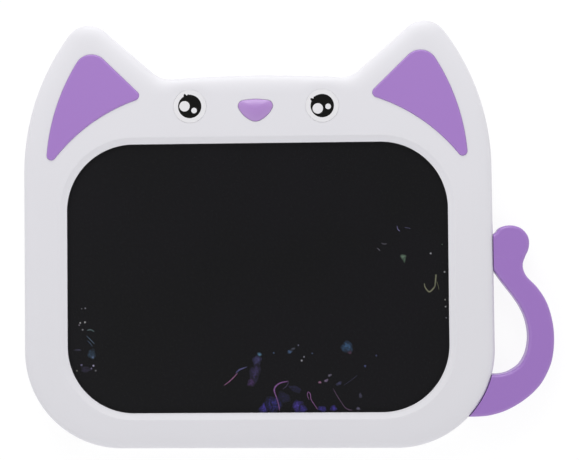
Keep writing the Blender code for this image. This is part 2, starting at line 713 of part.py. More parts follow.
# The casing
def front_shell(material):
    """White front: a plate with rounded rim, a bevelled window, pockets, bosses and a nose hole."""
    shell = slab("front_shell", [body_outline()], FRONT_LOW, BODY_DEPTH)
    rounded(shell, [BODY_DEPTH], FRONT_ROUND, ROUND_SEGMENTS)
    hollow = slab("front hollow", [body_outline(WALL)], FRONT_LOW - OVERRUN, PLATE_UNDER)
    rounded(hollow, [PLATE_UNDER], INNER_ROUND, INNER_SEGMENTS)
    worked(shell, "DIFFERENCE", [hollow])
    bosses = []
    for spot in CASE_SCREWS:
        low = TONGUE_HIGH + FIT_GAP if spot in TAIL_SCREWS else FRONT_LOW
        bosses.append(rod("front boss", *spot, BOSS_RADIUS, low, PLATE_UNDER + SINK))
    worked(shell, "UNION", bosses)
    bevel_floor = BODY_DEPTH - BEVEL_DEPTH
    cuts = [
        loft("window", [
            (window_outline(), PLATE_UNDER - OVERRUN),
            (window_outline(), bevel_floor),
            (window_outline(BEVEL_WIDTH), BODY_DEPTH),
            (window_outline(BEVEL_WIDTH), BODY_DEPTH + OVERRUN),
        ]),
        slab("nose hole", [nose_outline(FIT_GAP)], PLATE_UNDER - OVERRUN, BODY_DEPTH + OVERRUN),
    ]
    for outline in (inlay_outline(FIT_GAP), mirrored(inlay_outline(FIT_GAP))):
        cuts.append(slab("ear pocket", [outline], POCKET_FLOOR, BODY_DEPTH + OVERRUN))
    for side in (1, -1):
        cuts.append(rod(
            "eye pocket", side * EYE_X, EYE_Y, EYE_RADIUS + FIT_GAP, POCKET_FLOOR, BODY_DEPTH + OVERRUN,
            2 * ROUND_SIDES))
        for x, y in INLAY_STAKES + ((EYE_X, EYE_Y),):
            cuts.append(rod(
                "stake hole", side * x, y, STAKE_RADIUS + FIT_GAP, PLATE_UNDER - SINK,
                POCKET_FLOOR + SINK, SMALL_SIDES))
    for spot in CASE_SCREWS:
        cuts.append(rod(
            "screw hole", *spot, SHANK_RADIUS + FIT_GAP, FRONT_LOW - SINK, SCREW_END + FIT_GAP,
            SMALL_SIDES))
    for spot in TAIL_SCREWS:
        cuts.append(tail_tongue("tongue notch", spot, FIT_GAP))
    return node(worked(shell, "DIFFERENCE", cuts), material)


def rear_cover(material):
    """White back: a tray with ribs, bosses, posts, a cell well, a lock slot and the stylus channel."""
    cover = slab("rear_cover", [body_outline()], 0, REAR_HIGH)
    rounded(cover, [0], BACK_ROUND, ROUND_SEGMENTS - 1)
    hollow = slab("rear hollow", [body_outline(WALL)], BASE_THICKNESS, REAR_HIGH + OVERRUN)
    rounded(hollow, [BASE_THICKNESS], BACK_ROUND - WALL, 1)
    worked(cover, "DIFFERENCE", [hollow])
    low = BASE_THICKNESS - SINK
    channel_low = STYLUS_Y - STYLUS_RADIUS - FIT_GAP - CHANNEL_WALL
    channel_high = STYLUS_Y + STYLUS_RADIUS + FIT_GAP + CHANNEL_WALL
    stylus_inner_end = STYLUS_MOUTH + CAP_LENGTH + BARREL_LENGTH + NIB_LENGTH + 2 * FIT_GAP
    channel_end = stylus_inner_end + FIT_GAP
    channel = box(
        "stylus channel", (-BODY_HALF_WIDTH, channel_low, low),
        (channel_end + CHANNEL_END_WALL, channel_high, low + CHANNEL_HEIGHT))
    worked(channel, "INTERSECT", [
        slab("channel limit", [body_outline(WALL / 2)], 0, BODY_DEPTH)])
    added = [channel]
    for at in range(UPRIGHT_RIBS):
        x = RIB_HALF_WIDTH * (2 * at / (UPRIGHT_RIBS - 1) - 1)
        added.append(box(
            "upright rib", (x - RIB_THICKNESS / 2, -RIB_HALF_HEIGHT, low),
            (x + RIB_THICKNESS / 2, RIB_HALF_HEIGHT, RIB_HIGH)))
    for at in range(LEVEL_RIBS):
        y = (RIB_HALF_HEIGHT - RIB_THICKNESS) * (2 * at / (LEVEL_RIBS - 1) - 1)
        added.append(box(
            "level rib", (-RIB_HALF_WIDTH, y - RIB_THICKNESS / 2, low),
            (RIB_HALF_WIDTH, y + RIB_THICKNESS / 2, RIB_HIGH - SINK)))
    for spot in CASE_SCREWS:
        high = TONGUE_BACK - FIT_GAP if spot in TAIL_SCREWS else REAR_HIGH
        added.append(rod("rear boss", *spot, BOSS_RADIUS, low, high))
    for x in BOARD_SCREW_XS:
        for y in BOARD_SCREW_YS:
            added.append(rod(
                "board post", x, y, BOARD_POST_RADIUS, low, BOARD_LOW - FIT_GAP, SMALL_SIDES))
    added.append(box(
        "cell well", (CELL_X - WELL_HALF_WIDTH, CELL_Y - WELL_HALF_HEIGHT, low),
        (CELL_X + WELL_HALF_WIDTH, CELL_Y + WELL_HALF_HEIGHT, CELL_HIGH)))
    guide = LOCK_PLATE_HALF_HEIGHT + FIT_GAP
    for side in (1, -1):
        edges = sorted((LOCK_Y + side * guide, LOCK_Y + side * (guide + LOCK_GUIDE_WIDTH)))
        added.append(box(
            "slider guide", (LOCK_X - LOCK_PLATE_HALF_WIDTH, edges[0], low),
            (LOCK_X + LOCK_PLATE_HALF_WIDTH + LOCK_TRAVEL, edges[1], LOCK_PLATE_HIGH)))
    worked(cover, "UNION", added)
    cuts = rear_screw_cuts() + door_cuts() + lock_cuts()
    cuts.append(level_rod(
        "stylus bore", "X", -BODY_HALF_WIDTH, channel_end, STYLUS_Y, STYLUS_HEIGHT,
        STYLUS_RADIUS + FIT_GAP))
    cuts.append(box(
        "stylus slot", (-BODY_HALF_WIDTH, STYLUS_Y - CHANNEL_SLOT_HALF, -OVERRUN),
        (CHANNEL_SLOT_END, STYLUS_Y + CHANNEL_SLOT_HALF, STYLUS_HEIGHT)))
    for spot in TAIL_SCREWS:
        cuts.append(tail_tongue("tongue notch", spot, FIT_GAP))
    return node(worked(cover, "DIFFERENCE", cuts), material)


def rear_screw_cuts():
    """Through holes and counterbores of the case screws, and blind holes of the board screws."""
    cuts = []
    for spot in CASE_SCREWS:
        cuts.append(rod(
            "screw hole", *spot, SHANK_RADIUS + FIT_GAP, HEAD_SETBACK, REAR_HIGH + OVERRUN, SMALL_SIDES))
        cuts.append(rod(
            "counterbore", *spot, HEAD_RADIUS + FIT_GAP, -OVERRUN, SCREW_HEAD_HIGH + FIT_GAP))
    for x in BOARD_SCREW_XS:
        for y in BOARD_SCREW_YS:
            cuts.append(rod(
                "post hole", x, y, BOARD_SHANK_RADIUS + FIT_GAP,
                BOARD_LOW - BOARD_SCREW_DEPTH - FIT_GAP, BOARD_LOW + OVERRUN, SMALL_SIDES))
    return cuts


def door_cuts():
    """The door's recess, its hinge notches, the cell well, the screw's hole and the contact slot."""
    x_gap = DOOR_HALF_WIDTH + FIT_GAP
    y_gap = DOOR_HALF_HEIGHT + FIT_GAP
    pin = DOOR_PIN_RADIUS + FIT_GAP
    screw_x = CELL_X + DOOR_HALF_WIDTH - DOOR_SCREW_INSET
    pin_end = y_gap + DOOR_PIN_LENGTH
    return [
        box("door recess", (CELL_X - x_gap, CELL_Y - y_gap, -OVERRUN),
            (CELL_X + x_gap, CELL_Y + y_gap, WELL_FLOOR)),
        box("pin notch", (DOOR_HINGE_X - pin, CELL_Y - pin_end, -OVERRUN),
            (DOOR_HINGE_X + pin, CELL_Y + pin_end, DOOR_HINGE_HEIGHT + pin)),
        rod("cell bore", CELL_X, CELL_Y, CELL_RADIUS + FIT_GAP, 0, CELL_HIGH + OVERRUN, 2 * ROUND_SIDES),
        rod("door screw hole", screw_x, CELL_Y, DOOR_SHANK_RADIUS + FIT_GAP, 0,
            CELL_HIGH + OVERRUN, SMALL_SIDES),
        box("contact slot", (CELL_X - CONTACT_WIDTH / 2 - FIT_GAP, CELL_Y, CELL_LOW + FIT_GAP),
            (CELL_X + CONTACT_WIDTH / 2 + FIT_GAP, CELL_Y + CELL_RADIUS + WELL_SLOT_DEPTH,
             CELL_HIGH + OVERRUN)),
    ]


def lock_cuts():
    """The finger dish and the slot that the lock slider's knob moves in."""
    x = LOCK_KNOB_HALF_WIDTH + FIT_GAP
    y = LOCK_KNOB_HALF_HEIGHT + FIT_GAP
    dish = LOCK_DISH_MARGIN
    return [
        box("lock slot", (LOCK_X - x, LOCK_Y - y, -OVERRUN),
            (LOCK_X + LOCK_TRAVEL + x, LOCK_Y + y, LOCK_PLATE_LOW)),
        box("lock dish", (LOCK_X - x - dish, LOCK_Y - y - dish, -OVERRUN),
            (LOCK_X + LOCK_TRAVEL + x + dish, LOCK_Y + y + dish, LOCK_DISH_DEPTH)),
    ]


# The screen stack
def screen_stack(black, film_finish, board_finish):
    """The adhesive tape frame, the liquid crystal film and its backing board."""
    tape = slab(
        "film_tape_frame", [window_outline(FILM_MARGIN), window_outline(TAPE_SETBACK)],
        TAPE_HIGH - TAPE_THICKNESS, TAPE_HIGH)
    film = slab("lcd_film", [window_outline(FILM_MARGIN)], FILM_HIGH - FILM_THICKNESS, FILM_HIGH)
    backing = slab(
        "backing_board", [window_outline(FILM_MARGIN)], BACKING_HIGH - BACKING_THICKNESS, BACKING_HIGH)
    node(tape, black)
    node(film, film_finish)
    node(backing, board_finish)


def lcd_ribbon(material):
    """The flexible strip that joins the film's top edge to the circuit board."""
    start = WINDOW_HALF_HEIGHT + FILM_MARGIN + FIT_GAP
    high = FILM_HIGH - FILM_THICKNESS / 2
    low = BOARD_HIGH + FIT_GAP + RIBBON_THICKNESS / 2
    path = [
        (start, high), (start + RIBBON_FLAT, high), (start + RIBBON_FLAT + RIBBON_DROP, low),
        (start + RIBBON_FLAT + RIBBON_DROP + RIBBON_PAD, low),
    ]
    ribbon = strip(
        "lcd_ribbon", path, RIBBON_WIDTH, (math.pi / 2, 0, math.pi / 2), (RIBBON_X, 0, 0),
        RIBBON_THICKNESS)
    node(ribbon, material)


# Ears, eyes and nose
def ear_inlay(name, side, material):
    """A purple ear inlay with a rounded edge and stakes that go through the front plate."""
    outline = inlay_outline() if side > 0 else mirrored(inlay_outline())
    top = BODY_DEPTH + INLAY_PROUD
    inlay = slab(name, [outline], POCKET_FLOOR + FIT_GAP, top)
    rounded(inlay, [top], INLAY_ROUND, INNER_SEGMENTS)
    stakes = [
        rod("stake", side * x, y, STAKE_RADIUS, PLATE_UNDER - STAKE_REACH,
            POCKET_FLOOR + FIT_GAP + SINK, SMALL_SIDES)
        for x, y in INLAY_STAKES]
    node(worked(inlay, "UNION", stakes), material)


def eye_cap(name, side, material):
    """A round white cap with a rounded edge and one middle stake."""
    low = POCKET_FLOOR + FIT_GAP
    top = BODY_DEPTH + EYE_PROUD
    shoulder = EYE_RADIUS - EYE_ROUND
    rim = [
        (shoulder + EYE_ROUND * math.sin(math.radians(a)),
         top - EYE_ROUND + EYE_ROUND * math.cos(math.radians(a))) for a in (0, 30, 60, 90)]
    profile = [(0, top)] + rim + [
        (EYE_RADIUS, low), (STAKE_RADIUS, low), (STAKE_RADIUS, PLATE_UNDER - STAKE_REACH),
        (0, PLATE_UNDER - STAKE_REACH)]
    cap = turned(name, profile, 2 * ROUND_SIDES)
    cap.location = (side * EYE_X, EYE_Y, 0)
    node(cap, material)


def nose_button(material):
    """The purple nose: a raised key with a flange under the plate and a stem over the switch."""
    top = BODY_DEPTH + NOSE_PROUD
    low = NOSE_FLANGE_HIGH - NOSE_FLANGE_THICKNESS
    key = slab("nose_button", [nose_outline()], low + SINK, top)
    rounded(key, [top], NOSE_ROUND, INNER_SEGMENTS + 1)
    flange = slab("nose flange", [nose_outline(NOSE_FLANGE)], low, NOSE_FLANGE_HIGH)
    stem = rod("nose stem", 0, SWITCH_Y, NOSE_STEM_RADIUS, NOSE_STEM_LOW, low + SINK, SMALL_SIDES)
    node(worked(key, "UNION", [flange, stem]), material)


def erase_switch(body_material, plunger_material):
    """The push switch under the nose: a square body with a round bore, and its plunger."""
    a = SWITCH_HALF_SIDE
    body = box("erase_switch_body", (-a, SWITCH_Y - a, SWITCH_LOW), (a, SWITCH_Y + a, SWITCH_HIGH))
    bore = rod(
        "plunger bore", 0, SWITCH_Y, PLUNGER_RADIUS + FIT_GAP, SWITCH_LOW + SWITCH_FLOOR,
        SWITCH_HIGH + OVERRUN)
    node(worked(body, "DIFFERENCE", [bore]), body_material)
    plunger = rod(
        "erase_switch_plunger", 0, SWITCH_Y, PLUNGER_RADIUS, PLUNGER_HIGH - PLUNGER_LENGTH, PLUNGER_HIGH)
    node(plunger, plunger_material)


# Electronics
def circuit_board(material):
    """The board across the back of the eyes and nose, with four screw holes."""
    board = box(
        "circuit_board", (-BOARD_LEFT, BOARD_LOW_Y, BOARD_LOW), (BOARD_RIGHT, BOARD_HIGH_Y, BOARD_HIGH))
    holes = [
        rod("board hole", x, y, BOARD_SHANK_RADIUS + FIT_GAP, BOARD_LOW - OVERRUN,
            BOARD_HIGH + OVERRUN, SMALL_SIDES)
        for x in BOARD_SCREW_XS for y in BOARD_SCREW_YS]
    node(worked(board, "DIFFERENCE", holes), material)


def board_screws(material):
    """Four small pan-head screws down through the board's corners."""
    head_low = BOARD_HIGH + FIT_GAP
    spots = [(x, y) for x in BOARD_SCREW_XS for y in BOARD_SCREW_YS]
    profile = screw_profile(
        head_low, head_low + BOARD_HEAD_HEIGHT, BOARD_HEAD_RADIUS, BOARD_SHANK_RADIUS,
        BOARD_LOW - BOARD_SCREW_DEPTH)
    for at, (x, y) in enumerate(spots, 1):
        screw = turned(f"board_screw_{at}", profile, SMALL_SIDES)
        screw.location = (x, y, 0)
        node(screw, material)


def screw_profile(head_base, head_top, head_radius, shank_radius, end):
    """A screw's half profile from the middle of its head, which may point up or down, to its end."""
    chamfer = abs(head_top - head_base) / 3
    away = chamfer if head_top > head_base else -chamfer
    return [
        (0, head_top), (head_radius - chamfer, head_top), (head_radius, head_top - away),
        (head_radius, head_base), (shank_radius, head_base), (shank_radius, end), (0, end)]


def controller_chip(material):
    """The controller under its drop of black resin."""
    low = BOARD_HIGH + FIT_GAP
    angles = [math.radians(a) for a in (0, 22.5, 45, 67.5, 90)]
    profile = [(CHIP_RADIUS * math.sin(a), low + CHIP_HEIGHT * math.cos(a)) for a in angles]
    chip = turned("controller_chip", profile + [(0, low)])
    chip.location = (CHIP_X, CHIP_Y, 0)
    node(chip, material)


def coin_cell(material):
    """The flat round cell: a can with a smaller cap on the side that faces the board."""
    shoulder = CELL_HIGH - CELL_CAP_HEIGHT
    profile = [
        (0, CELL_HIGH), (CELL_CAP_RADIUS, CELL_HIGH), (CELL_CAP_RADIUS, shoulder),
        (CELL_RADIUS - CELL_EDGE, shoulder), (CELL_RADIUS, shoulder - CELL_EDGE),
        (CELL_RADIUS, CELL_LOW + CELL_EDGE), (CELL_RADIUS - CELL_EDGE, CELL_LOW), (0, CELL_LOW)]
    cell = turned("coin_cell", profile, 2 * ROUND_SIDES)
    cell.location = (CELL_X, CELL_Y, 0)
    node(cell, material)


def cell_contacts(material):
    """A bowed leaf over the cell's cap and an angled leaf that stands against the can's rim."""
    half = CONTACT_THICKNESS / 2
    high = BOARD_LOW - FIT_GAP - half
    low = CELL_HIGH + FIT_GAP + half
    reach = CONTACT_HALF_LENGTH
    bowed = [(-reach, high), (-reach / 2, high), (0, low), (reach / 2, high), (reach, high)]
    negative = strip(
        "negative_contact", bowed, CONTACT_WIDTH, (math.pi / 2, 0, 0), (CELL_X, CELL_Y, 0),
        CONTACT_THICKNESS)
    rim = CELL_Y + CELL_RADIUS + FIT_GAP + CONTACT_THICKNESS
    foot = [(rim, CELL_LOW + 2 * FIT_GAP), (rim, high), (rim - CONTACT_FOOT, high)]
    positive = strip(
        "positive_contact", foot, CONTACT_WIDTH, (math.pi / 2, 0, math.pi / 2), (CELL_X, 0, 0),
        CONTACT_THICKNESS)
    node(negative, material)
    node(positive, material)


# The battery door and the lock
def battery_door(material):
    """A flat door with a rounded hinge edge, two hinge pins, a screw hole and finger ribs."""
    left = CELL_X - DOOR_HALF_WIDTH
    right = CELL_X + DOOR_HALF_WIDTH
    low_y = CELL_Y - DOOR_HALF_HEIGHT
    high_y = CELL_Y + DOOR_HALF_HEIGHT
    door = box("battery_door", (DOOR_HINGE_X, low_y, DOOR_RECESS), (right, high_y, DOOR_HIGH))
    pin_end = DOOR_HALF_HEIGHT + DOOR_PIN_LENGTH
    edge = level_rod(
        "door edge", "Y", low_y, high_y, DOOR_HINGE_X, DOOR_HINGE_HEIGHT, DOOR_HINGE_X - left)
    pins = level_rod(
        "door pins", "Y", CELL_Y - pin_end, CELL_Y + pin_end, DOOR_HINGE_X, DOOR_HINGE_HEIGHT,
        DOOR_PIN_RADIUS)
    worked(door, "UNION", [edge, pins])
    screw_x = right - DOOR_SCREW_INSET
    cuts = [
        rod("door screw hole", screw_x, CELL_Y, DOOR_SHANK_RADIUS + FIT_GAP, -OVERRUN,
            DOOR_HIGH + OVERRUN, SMALL_SIDES),
        rod("door counterbore", screw_x, CELL_Y, DOOR_HEAD_RADIUS + FIT_GAP, -OVERRUN,
            DOOR_RECESS + DOOR_HEAD_HEIGHT + FIT_GAP),
    ]
    for at in range(DOOR_GRIP_RIBS):
        x = CELL_X + DOOR_GRIP_PITCH * (at - (DOOR_GRIP_RIBS - 1) / 2)
        cuts.append(box(
            "door grip", (x - DOOR_GRIP_WIDTH / 2, CELL_Y - DOOR_GRIP_HALF_LENGTH, -OVERRUN),
            (x + DOOR_GRIP_WIDTH / 2, CELL_Y + DOOR_GRIP_HALF_LENGTH, DOOR_RECESS + DOOR_GRIP_DEPTH)))
    node(worked(door, "DIFFERENCE", cuts), material)


def battery_door_screw(material):
    """The captive screw near the door's free edge, its head towards the back."""
    profile = screw_profile(
        DOOR_RECESS + DOOR_HEAD_HEIGHT, DOOR_RECESS, DOOR_HEAD_RADIUS, DOOR_SHANK_RADIUS,
        DOOR_RECESS + DOOR_HEAD_HEIGHT + DOOR_SCREW_LENGTH)
    screw = turned("battery_door_screw", profile[::-1], SMALL_SIDES)
    screw.location = (CELL_X + DOOR_HALF_WIDTH - DOOR_SCREW_INSET, CELL_Y, 0)
    node(screw, material)


def lock_slider(material):
    """A plate inside the back with a ribbed knob in the slot and two lugs beside the switch's stem."""
    plate = box(
        "lock_slider", (LOCK_X - LOCK_PLATE_HALF_WIDTH, LOCK_Y - LOCK_PLATE_HALF_HEIGHT, LOCK_PLATE_LOW),
        (LOCK_X + LOCK_PLATE_HALF_WIDTH, LOCK_Y + LOCK_PLATE_HALF_HEIGHT, LOCK_PLATE_HIGH))
    knob = box(
        "lock knob", (LOCK_X - LOCK_KNOB_HALF_WIDTH, LOCK_Y - LOCK_KNOB_HALF_HEIGHT, LOCK_KNOB_SETBACK),
        (LOCK_X + LOCK_KNOB_HALF_WIDTH, LOCK_Y + LOCK_KNOB_HALF_HEIGHT, LOCK_PLATE_LOW + SINK))
    lugs = []
    inner = LOCK_STEM_HALF_WIDTH + FIT_GAP
    for side in (1, -1):
        edges = sorted((LOCK_X + side * inner, LOCK_X + side * (inner + LOCK_LUG_WIDTH)))
        lugs.append(box(
            "lock lug", (edges[0], LOCK_Y - LOCK_STEM_HALF_HEIGHT, LOCK_PLATE_HIGH - SINK),
            (edges[1], LOCK_Y + LOCK_STEM_HALF_HEIGHT, LOCK_PLATE_HIGH + LOCK_LUG_HEIGHT)))
    worked(plate, "UNION", [knob] + lugs)
    grooves = []
    for at in range(LOCK_GRIP_GROOVES):
        x = LOCK_X + LOCK_GRIP_PITCH * (at - (LOCK_GRIP_GROOVES - 1) / 2)
        grooves.append(box(
            "knob groove", (x - LOCK_GRIP_WIDTH / 2, LOCK_Y - LOCK_KNOB_HALF_HEIGHT - OVERRUN, -OVERRUN),
            (x + LOCK_GRIP_WIDTH / 2, LOCK_Y + LOCK_KNOB_HALF_HEIGHT + OVERRUN,
             LOCK_KNOB_SETBACK + LOCK_GRIP_WIDTH)))
    node(worked(plate, "DIFFERENCE", grooves), material)


def lock_switch(body_material, stem_material):
    """The slide switch under the board: a body with a slot, and the stem that moves in it."""
    x = LOCK_X + LOCK_TRAVEL / 2
    body = box(
        "lock_switch_body", (x - LOCK_BODY_HALF_WIDTH, LOCK_Y - LOCK_BODY_HALF_HEIGHT, LOCK_BODY_LOW),
        (x + LOCK_BODY_HALF_WIDTH, LOCK_Y + LOCK_BODY_HALF_HEIGHT, LOCK_BODY_HIGH))
    half = LOCK_STEM_HALF_WIDTH + FIT_GAP
    deep = LOCK_STEM_HALF_HEIGHT + FIT_GAP
    slot = box(
        "stem slot", (LOCK_X - half, LOCK_Y - deep, LOCK_BODY_LOW - OVERRUN),
        (LOCK_X + LOCK_TRAVEL + half, LOCK_Y + deep, LOCK_BODY_LOW + LOCK_SLOT_DEPTH))
    node(worked(body, "DIFFERENCE", [slot]), body_material)
    stem_low = LOCK_PLATE_HIGH + FIT_GAP
    stem = box(
        "lock_switch_stem",
        (LOCK_X - LOCK_STEM_HALF_WIDTH, LOCK_Y - LOCK_STEM_HALF_HEIGHT, stem_low),
        (LOCK_X + LOCK_STEM_HALF_WIDTH, LOCK_Y + LOCK_STEM_HALF_HEIGHT, stem_low + LOCK_STEM_LENGTH))
    node(stem, stem_material)


# Screws, tail and stylus
def case_screws(material):
    """The screws that hold the two shells together, driven from the back."""
    profile = screw_profile(SCREW_HEAD_HIGH, HEAD_SETBACK, HEAD_RADIUS, SHANK_RADIUS, SCREW_END)
    for at, (x, y) in enumerate(CASE_SCREWS, 1):
        screw = turned(f"case_screw_{at}", profile[::-1], SMALL_SIDES)
        screw.location = (x, y, 0)
        node(screw, material)


def tail_handle(material):
    """The purple tail: a rounded curl cut to the casing's side, with two tongues that the bosses hold."""
    front = TAIL_BACK + TAIL_THICKNESS
    tail = slab("tail_handle", [tail_outline()], TAIL_BACK, front)
    rounded(tail, [TAIL_BACK, front], TAIL_ROUND, INNER_SEGMENTS)
    worked(tail, "DIFFERENCE", [casing_form("casing form", FIT_GAP)])
    worked(tail, "UNION", [tail_tongue("tail tongue", spot) for spot in TAIL_SCREWS])
    holes = [
        rod("tongue hole", *spot, SHANK_RADIUS + FIT_GAP, TONGUE_BACK - OVERRUN, TONGUE_HIGH + OVERRUN,
            SMALL_SIDES)
        for spot in TAIL_SCREWS]
    node(worked(tail, "DIFFERENCE", holes), material)


def along_x(solid, start):
    """Lays a turned piece along X, its bottom end at a start and its top end further right."""
    solid.rotation_euler = (0, math.pi / 2, 0)
    solid.location = (start, STYLUS_Y, STYLUS_HEIGHT)
    return solid


def stylus(barrel_material, tip_material, cap_material):
    """The stylus in its channel: a hollow barrel, a nib at its inner end and a grooved end cap."""
    spigot = BARREL_BORE - FIT_GAP
    edge = CAP_GROOVE_DEPTH
    cap = [(spigot, CAP_LENGTH + SPIGOT_LENGTH), (spigot, CAP_LENGTH), (STYLUS_RADIUS, CAP_LENGTH)]
    for at in range(CAP_GROOVES):
        top = CAP_LENGTH - CAP_GROOVE_WIDTH * (1.5 + 2 * at)
        cap += [
            (STYLUS_RADIUS, top), (STYLUS_RADIUS - edge, top - CAP_GROOVE_WIDTH / 4),
            (STYLUS_RADIUS - edge, top - CAP_GROOVE_WIDTH * 3 / 4),
            (STYLUS_RADIUS, top - CAP_GROOVE_WIDTH)]
    cap += [(STYLUS_RADIUS, CAP_DOME), (STYLUS_RADIUS - CAP_DOME / 2, CAP_DOME / 4)]
    cap = [(0, CAP_LENGTH + SPIGOT_LENGTH)] + cap + [(0, 0)]
    node(along_x(turned("stylus_end_cap", cap), STYLUS_MOUTH), cap_material)
    barrel_start = STYLUS_MOUTH + CAP_LENGTH + FIT_GAP
    barrel = [
        (BARREL_BORE, BARREL_LENGTH), (STYLUS_RADIUS, BARREL_LENGTH), (STYLUS_RADIUS, 0),
        (BARREL_BORE, 0), (BARREL_BORE, BARREL_LENGTH)]
    node(along_x(turned("stylus_barrel", barrel), barrel_start), barrel_material)
    nib_start = barrel_start + BARREL_LENGTH + FIT_GAP
    nib = [
        (0, NIB_LENGTH), (NIB_POINT_RADIUS / 2, NIB_LENGTH), (NIB_POINT_RADIUS, NIB_LENGTH - edge),
        (STYLUS_RADIUS, NIB_LENGTH - NIB_CONE), (STYLUS_RADIUS, 0), (spigot, 0),
        (spigot, -SPIGOT_LENGTH), (0, -SPIGOT_LENGTH)]
    node(along_x(turned("stylus_nib", nib), nib_start), tip_material)


def build():
    """Makes every piece with its own material."""
    front_shell(finish("white moulded ABS, front", 226, 224, 230, 0.38))
    rear_cover(finish("white moulded ABS, back", 226, 224, 230, 0.45))
    screen_stack(
        finish("black adhesive foam", 20, 20, 22, 0.9),
        finish("liquid crystal film", 27, 27, 30, 0.18),
        finish("grey backing board", 120, 120, 118, 0.8))
    lcd_ribbon(finish("amber flexible print", 176, 110, 40, 0.4))
    ear_inlay("left_ear_inlay", -1, finish("purple moulded plastic, left ear", 168, 127, 199, 0.4))
    ear_inlay("right_ear_inlay", 1, finish("purple moulded plastic, right ear", 168, 127, 199, 0.4))
    eye_cap("left_eye_cap", -1, finish("white moulded plastic, left eye", 240, 240, 240, 0.3))
    eye_cap("right_eye_cap", 1, finish("white moulded plastic, right eye", 240, 240, 240, 0.3))
    nose_button(finish("purple moulded plastic, nose", 175, 140, 200, 0.35))
    erase_switch(
        finish("black switch plastic, push switch", 30, 30, 32, 0.5),
        finish("brown switch plastic, plunger", 90, 60, 40, 0.5))
    circuit_board(finish("green solder mask", 24, 96, 56, 0.4))
    board_screws(finish("zinc-plated steel, board screws", 190, 190, 195, 0.35, 1.0))
    controller_chip(finish("black resin", 18, 18, 18, 0.3))
    coin_cell(finish("stainless steel, cell", 200, 200, 204, 0.25, 1.0))
    cell_contacts(finish("nickel-plated spring steel", 205, 200, 190, 0.3, 1.0))
    battery_door(finish("white moulded ABS, door", 226, 224, 230, 0.45))
    battery_door_screw(finish("zinc-plated steel, door screw", 190, 190, 195, 0.35, 1.0))
    lock_slider(finish("purple moulded plastic, slider", 156, 116, 190, 0.4))
    lock_switch(
        finish("black switch plastic, slide switch", 30, 30, 32, 0.5),
        finish("black switch plastic, stem", 40, 40, 42, 0.5))
    case_screws(finish("zinc-plated steel, case screws", 190, 190, 195, 0.35, 1.0))
    tail_handle(finish("purple moulded plastic, tail", 156, 116, 190, 0.4))
    stylus(
        finish("white moulded plastic, stylus", 235, 234, 238, 0.35),
        finish("grey acetal, nib", 90, 88, 92, 0.4),
        finish("purple moulded plastic, stylus cap", 156, 116, 190, 0.4))


build()
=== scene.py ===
"""The dressed scene of an animal-headed writing tablet that lies on its back on a white table.

+Z comes out of the screen, +X runs towards the tail handle and +Y towards the ears. Shapes are
worked out in millimetres, as whole arrays, and become metres when they are put into a mesh.
"""

import math

import bpy
import numpy as np
from mathutils import Euler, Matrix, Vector
from mathutils.geometry import delaunay_2d_cdt


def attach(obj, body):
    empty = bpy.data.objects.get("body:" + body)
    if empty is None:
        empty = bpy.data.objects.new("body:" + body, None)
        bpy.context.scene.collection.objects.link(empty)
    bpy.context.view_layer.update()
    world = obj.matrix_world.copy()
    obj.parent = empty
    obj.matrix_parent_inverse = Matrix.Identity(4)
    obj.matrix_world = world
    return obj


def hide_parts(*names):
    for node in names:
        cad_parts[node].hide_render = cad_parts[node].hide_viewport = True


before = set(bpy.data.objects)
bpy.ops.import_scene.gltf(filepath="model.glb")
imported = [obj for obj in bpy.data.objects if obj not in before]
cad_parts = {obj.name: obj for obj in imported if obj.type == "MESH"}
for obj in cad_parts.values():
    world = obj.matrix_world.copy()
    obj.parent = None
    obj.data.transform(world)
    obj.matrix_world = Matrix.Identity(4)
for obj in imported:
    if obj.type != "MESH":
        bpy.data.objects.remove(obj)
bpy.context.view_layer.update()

# The camera
# It looks almost straight down at the tablet from 0.7 m with a short telephoto lens, and stands a
# little to the tail's side and below the middle, so that the ears and the left side taper slightly.
eye = bpy.data.cameras.new("camera")
eye.sensor_width = 36.0
eye.lens = 92.51
eye.clip_start = 0.05
eye.clip_end = 20.0
camera = bpy.data.objects.new("camera", eye)
camera.location = (0.0442, 0.0047, 0.700)
camera.rotation_euler = Euler([math.radians(turn) for turn in (1.411, 2.424, -0.498)])
bpy.context.scene.collection.objects.link(camera)
bpy.context.scene.camera = camera
bpy.context.scene.view_settings.view_transform = "Standard"


# The table and the light
# A matt white table top, one broad soft box over the ears' side, and a pale room that is darker
# straight above, where a photographer and the camera stand.
def linear(code):
    """An sRGB hex colour as linear light: c / 12.92 near black, else ((c + 0.055) / 1.055) ^ 2.4."""
    share = np.array([int(code[at:at + 2], 16) for at in (1, 3, 5)]) / 255.0
    light = np.where(share <= 0.04045, share / 12.92, ((share + 0.055) / 1.055) ** 2.4)
    return (*light.tolist(), 1.0)


def put(tree, kind, values=None, **settings):
    """Adds one node. settings are its own choices; values fill its inputs, by name or number, with a
    plain value or with another node's output, which is linked."""
    added = tree.nodes.new(kind)
    for name, choice in settings.items():
        setattr(added, name, choice)
    for name, value in (values or {}).items():
        socket = added.inputs[name]
        if isinstance(value, bpy.types.NodeSocket):
            tree.links.new(value, socket)
        else:
            socket.default_value = value
    return added


def blank(name):
    """A new material with an empty node tree and its output, and the tree."""
    made = bpy.data.materials.new(name)
    made.use_nodes = True
    made.node_tree.nodes.clear()
    return made, made.node_tree


room = bpy.data.worlds.new("pale room")
bpy.context.scene.world = room
room.use_nodes = True
tree = room.node_tree
tree.nodes.clear()
way = put(tree, "ShaderNodeTexCoord")
parts = put(tree, "ShaderNodeSeparateXYZ", {"Vector": way.outputs["Generated"]})
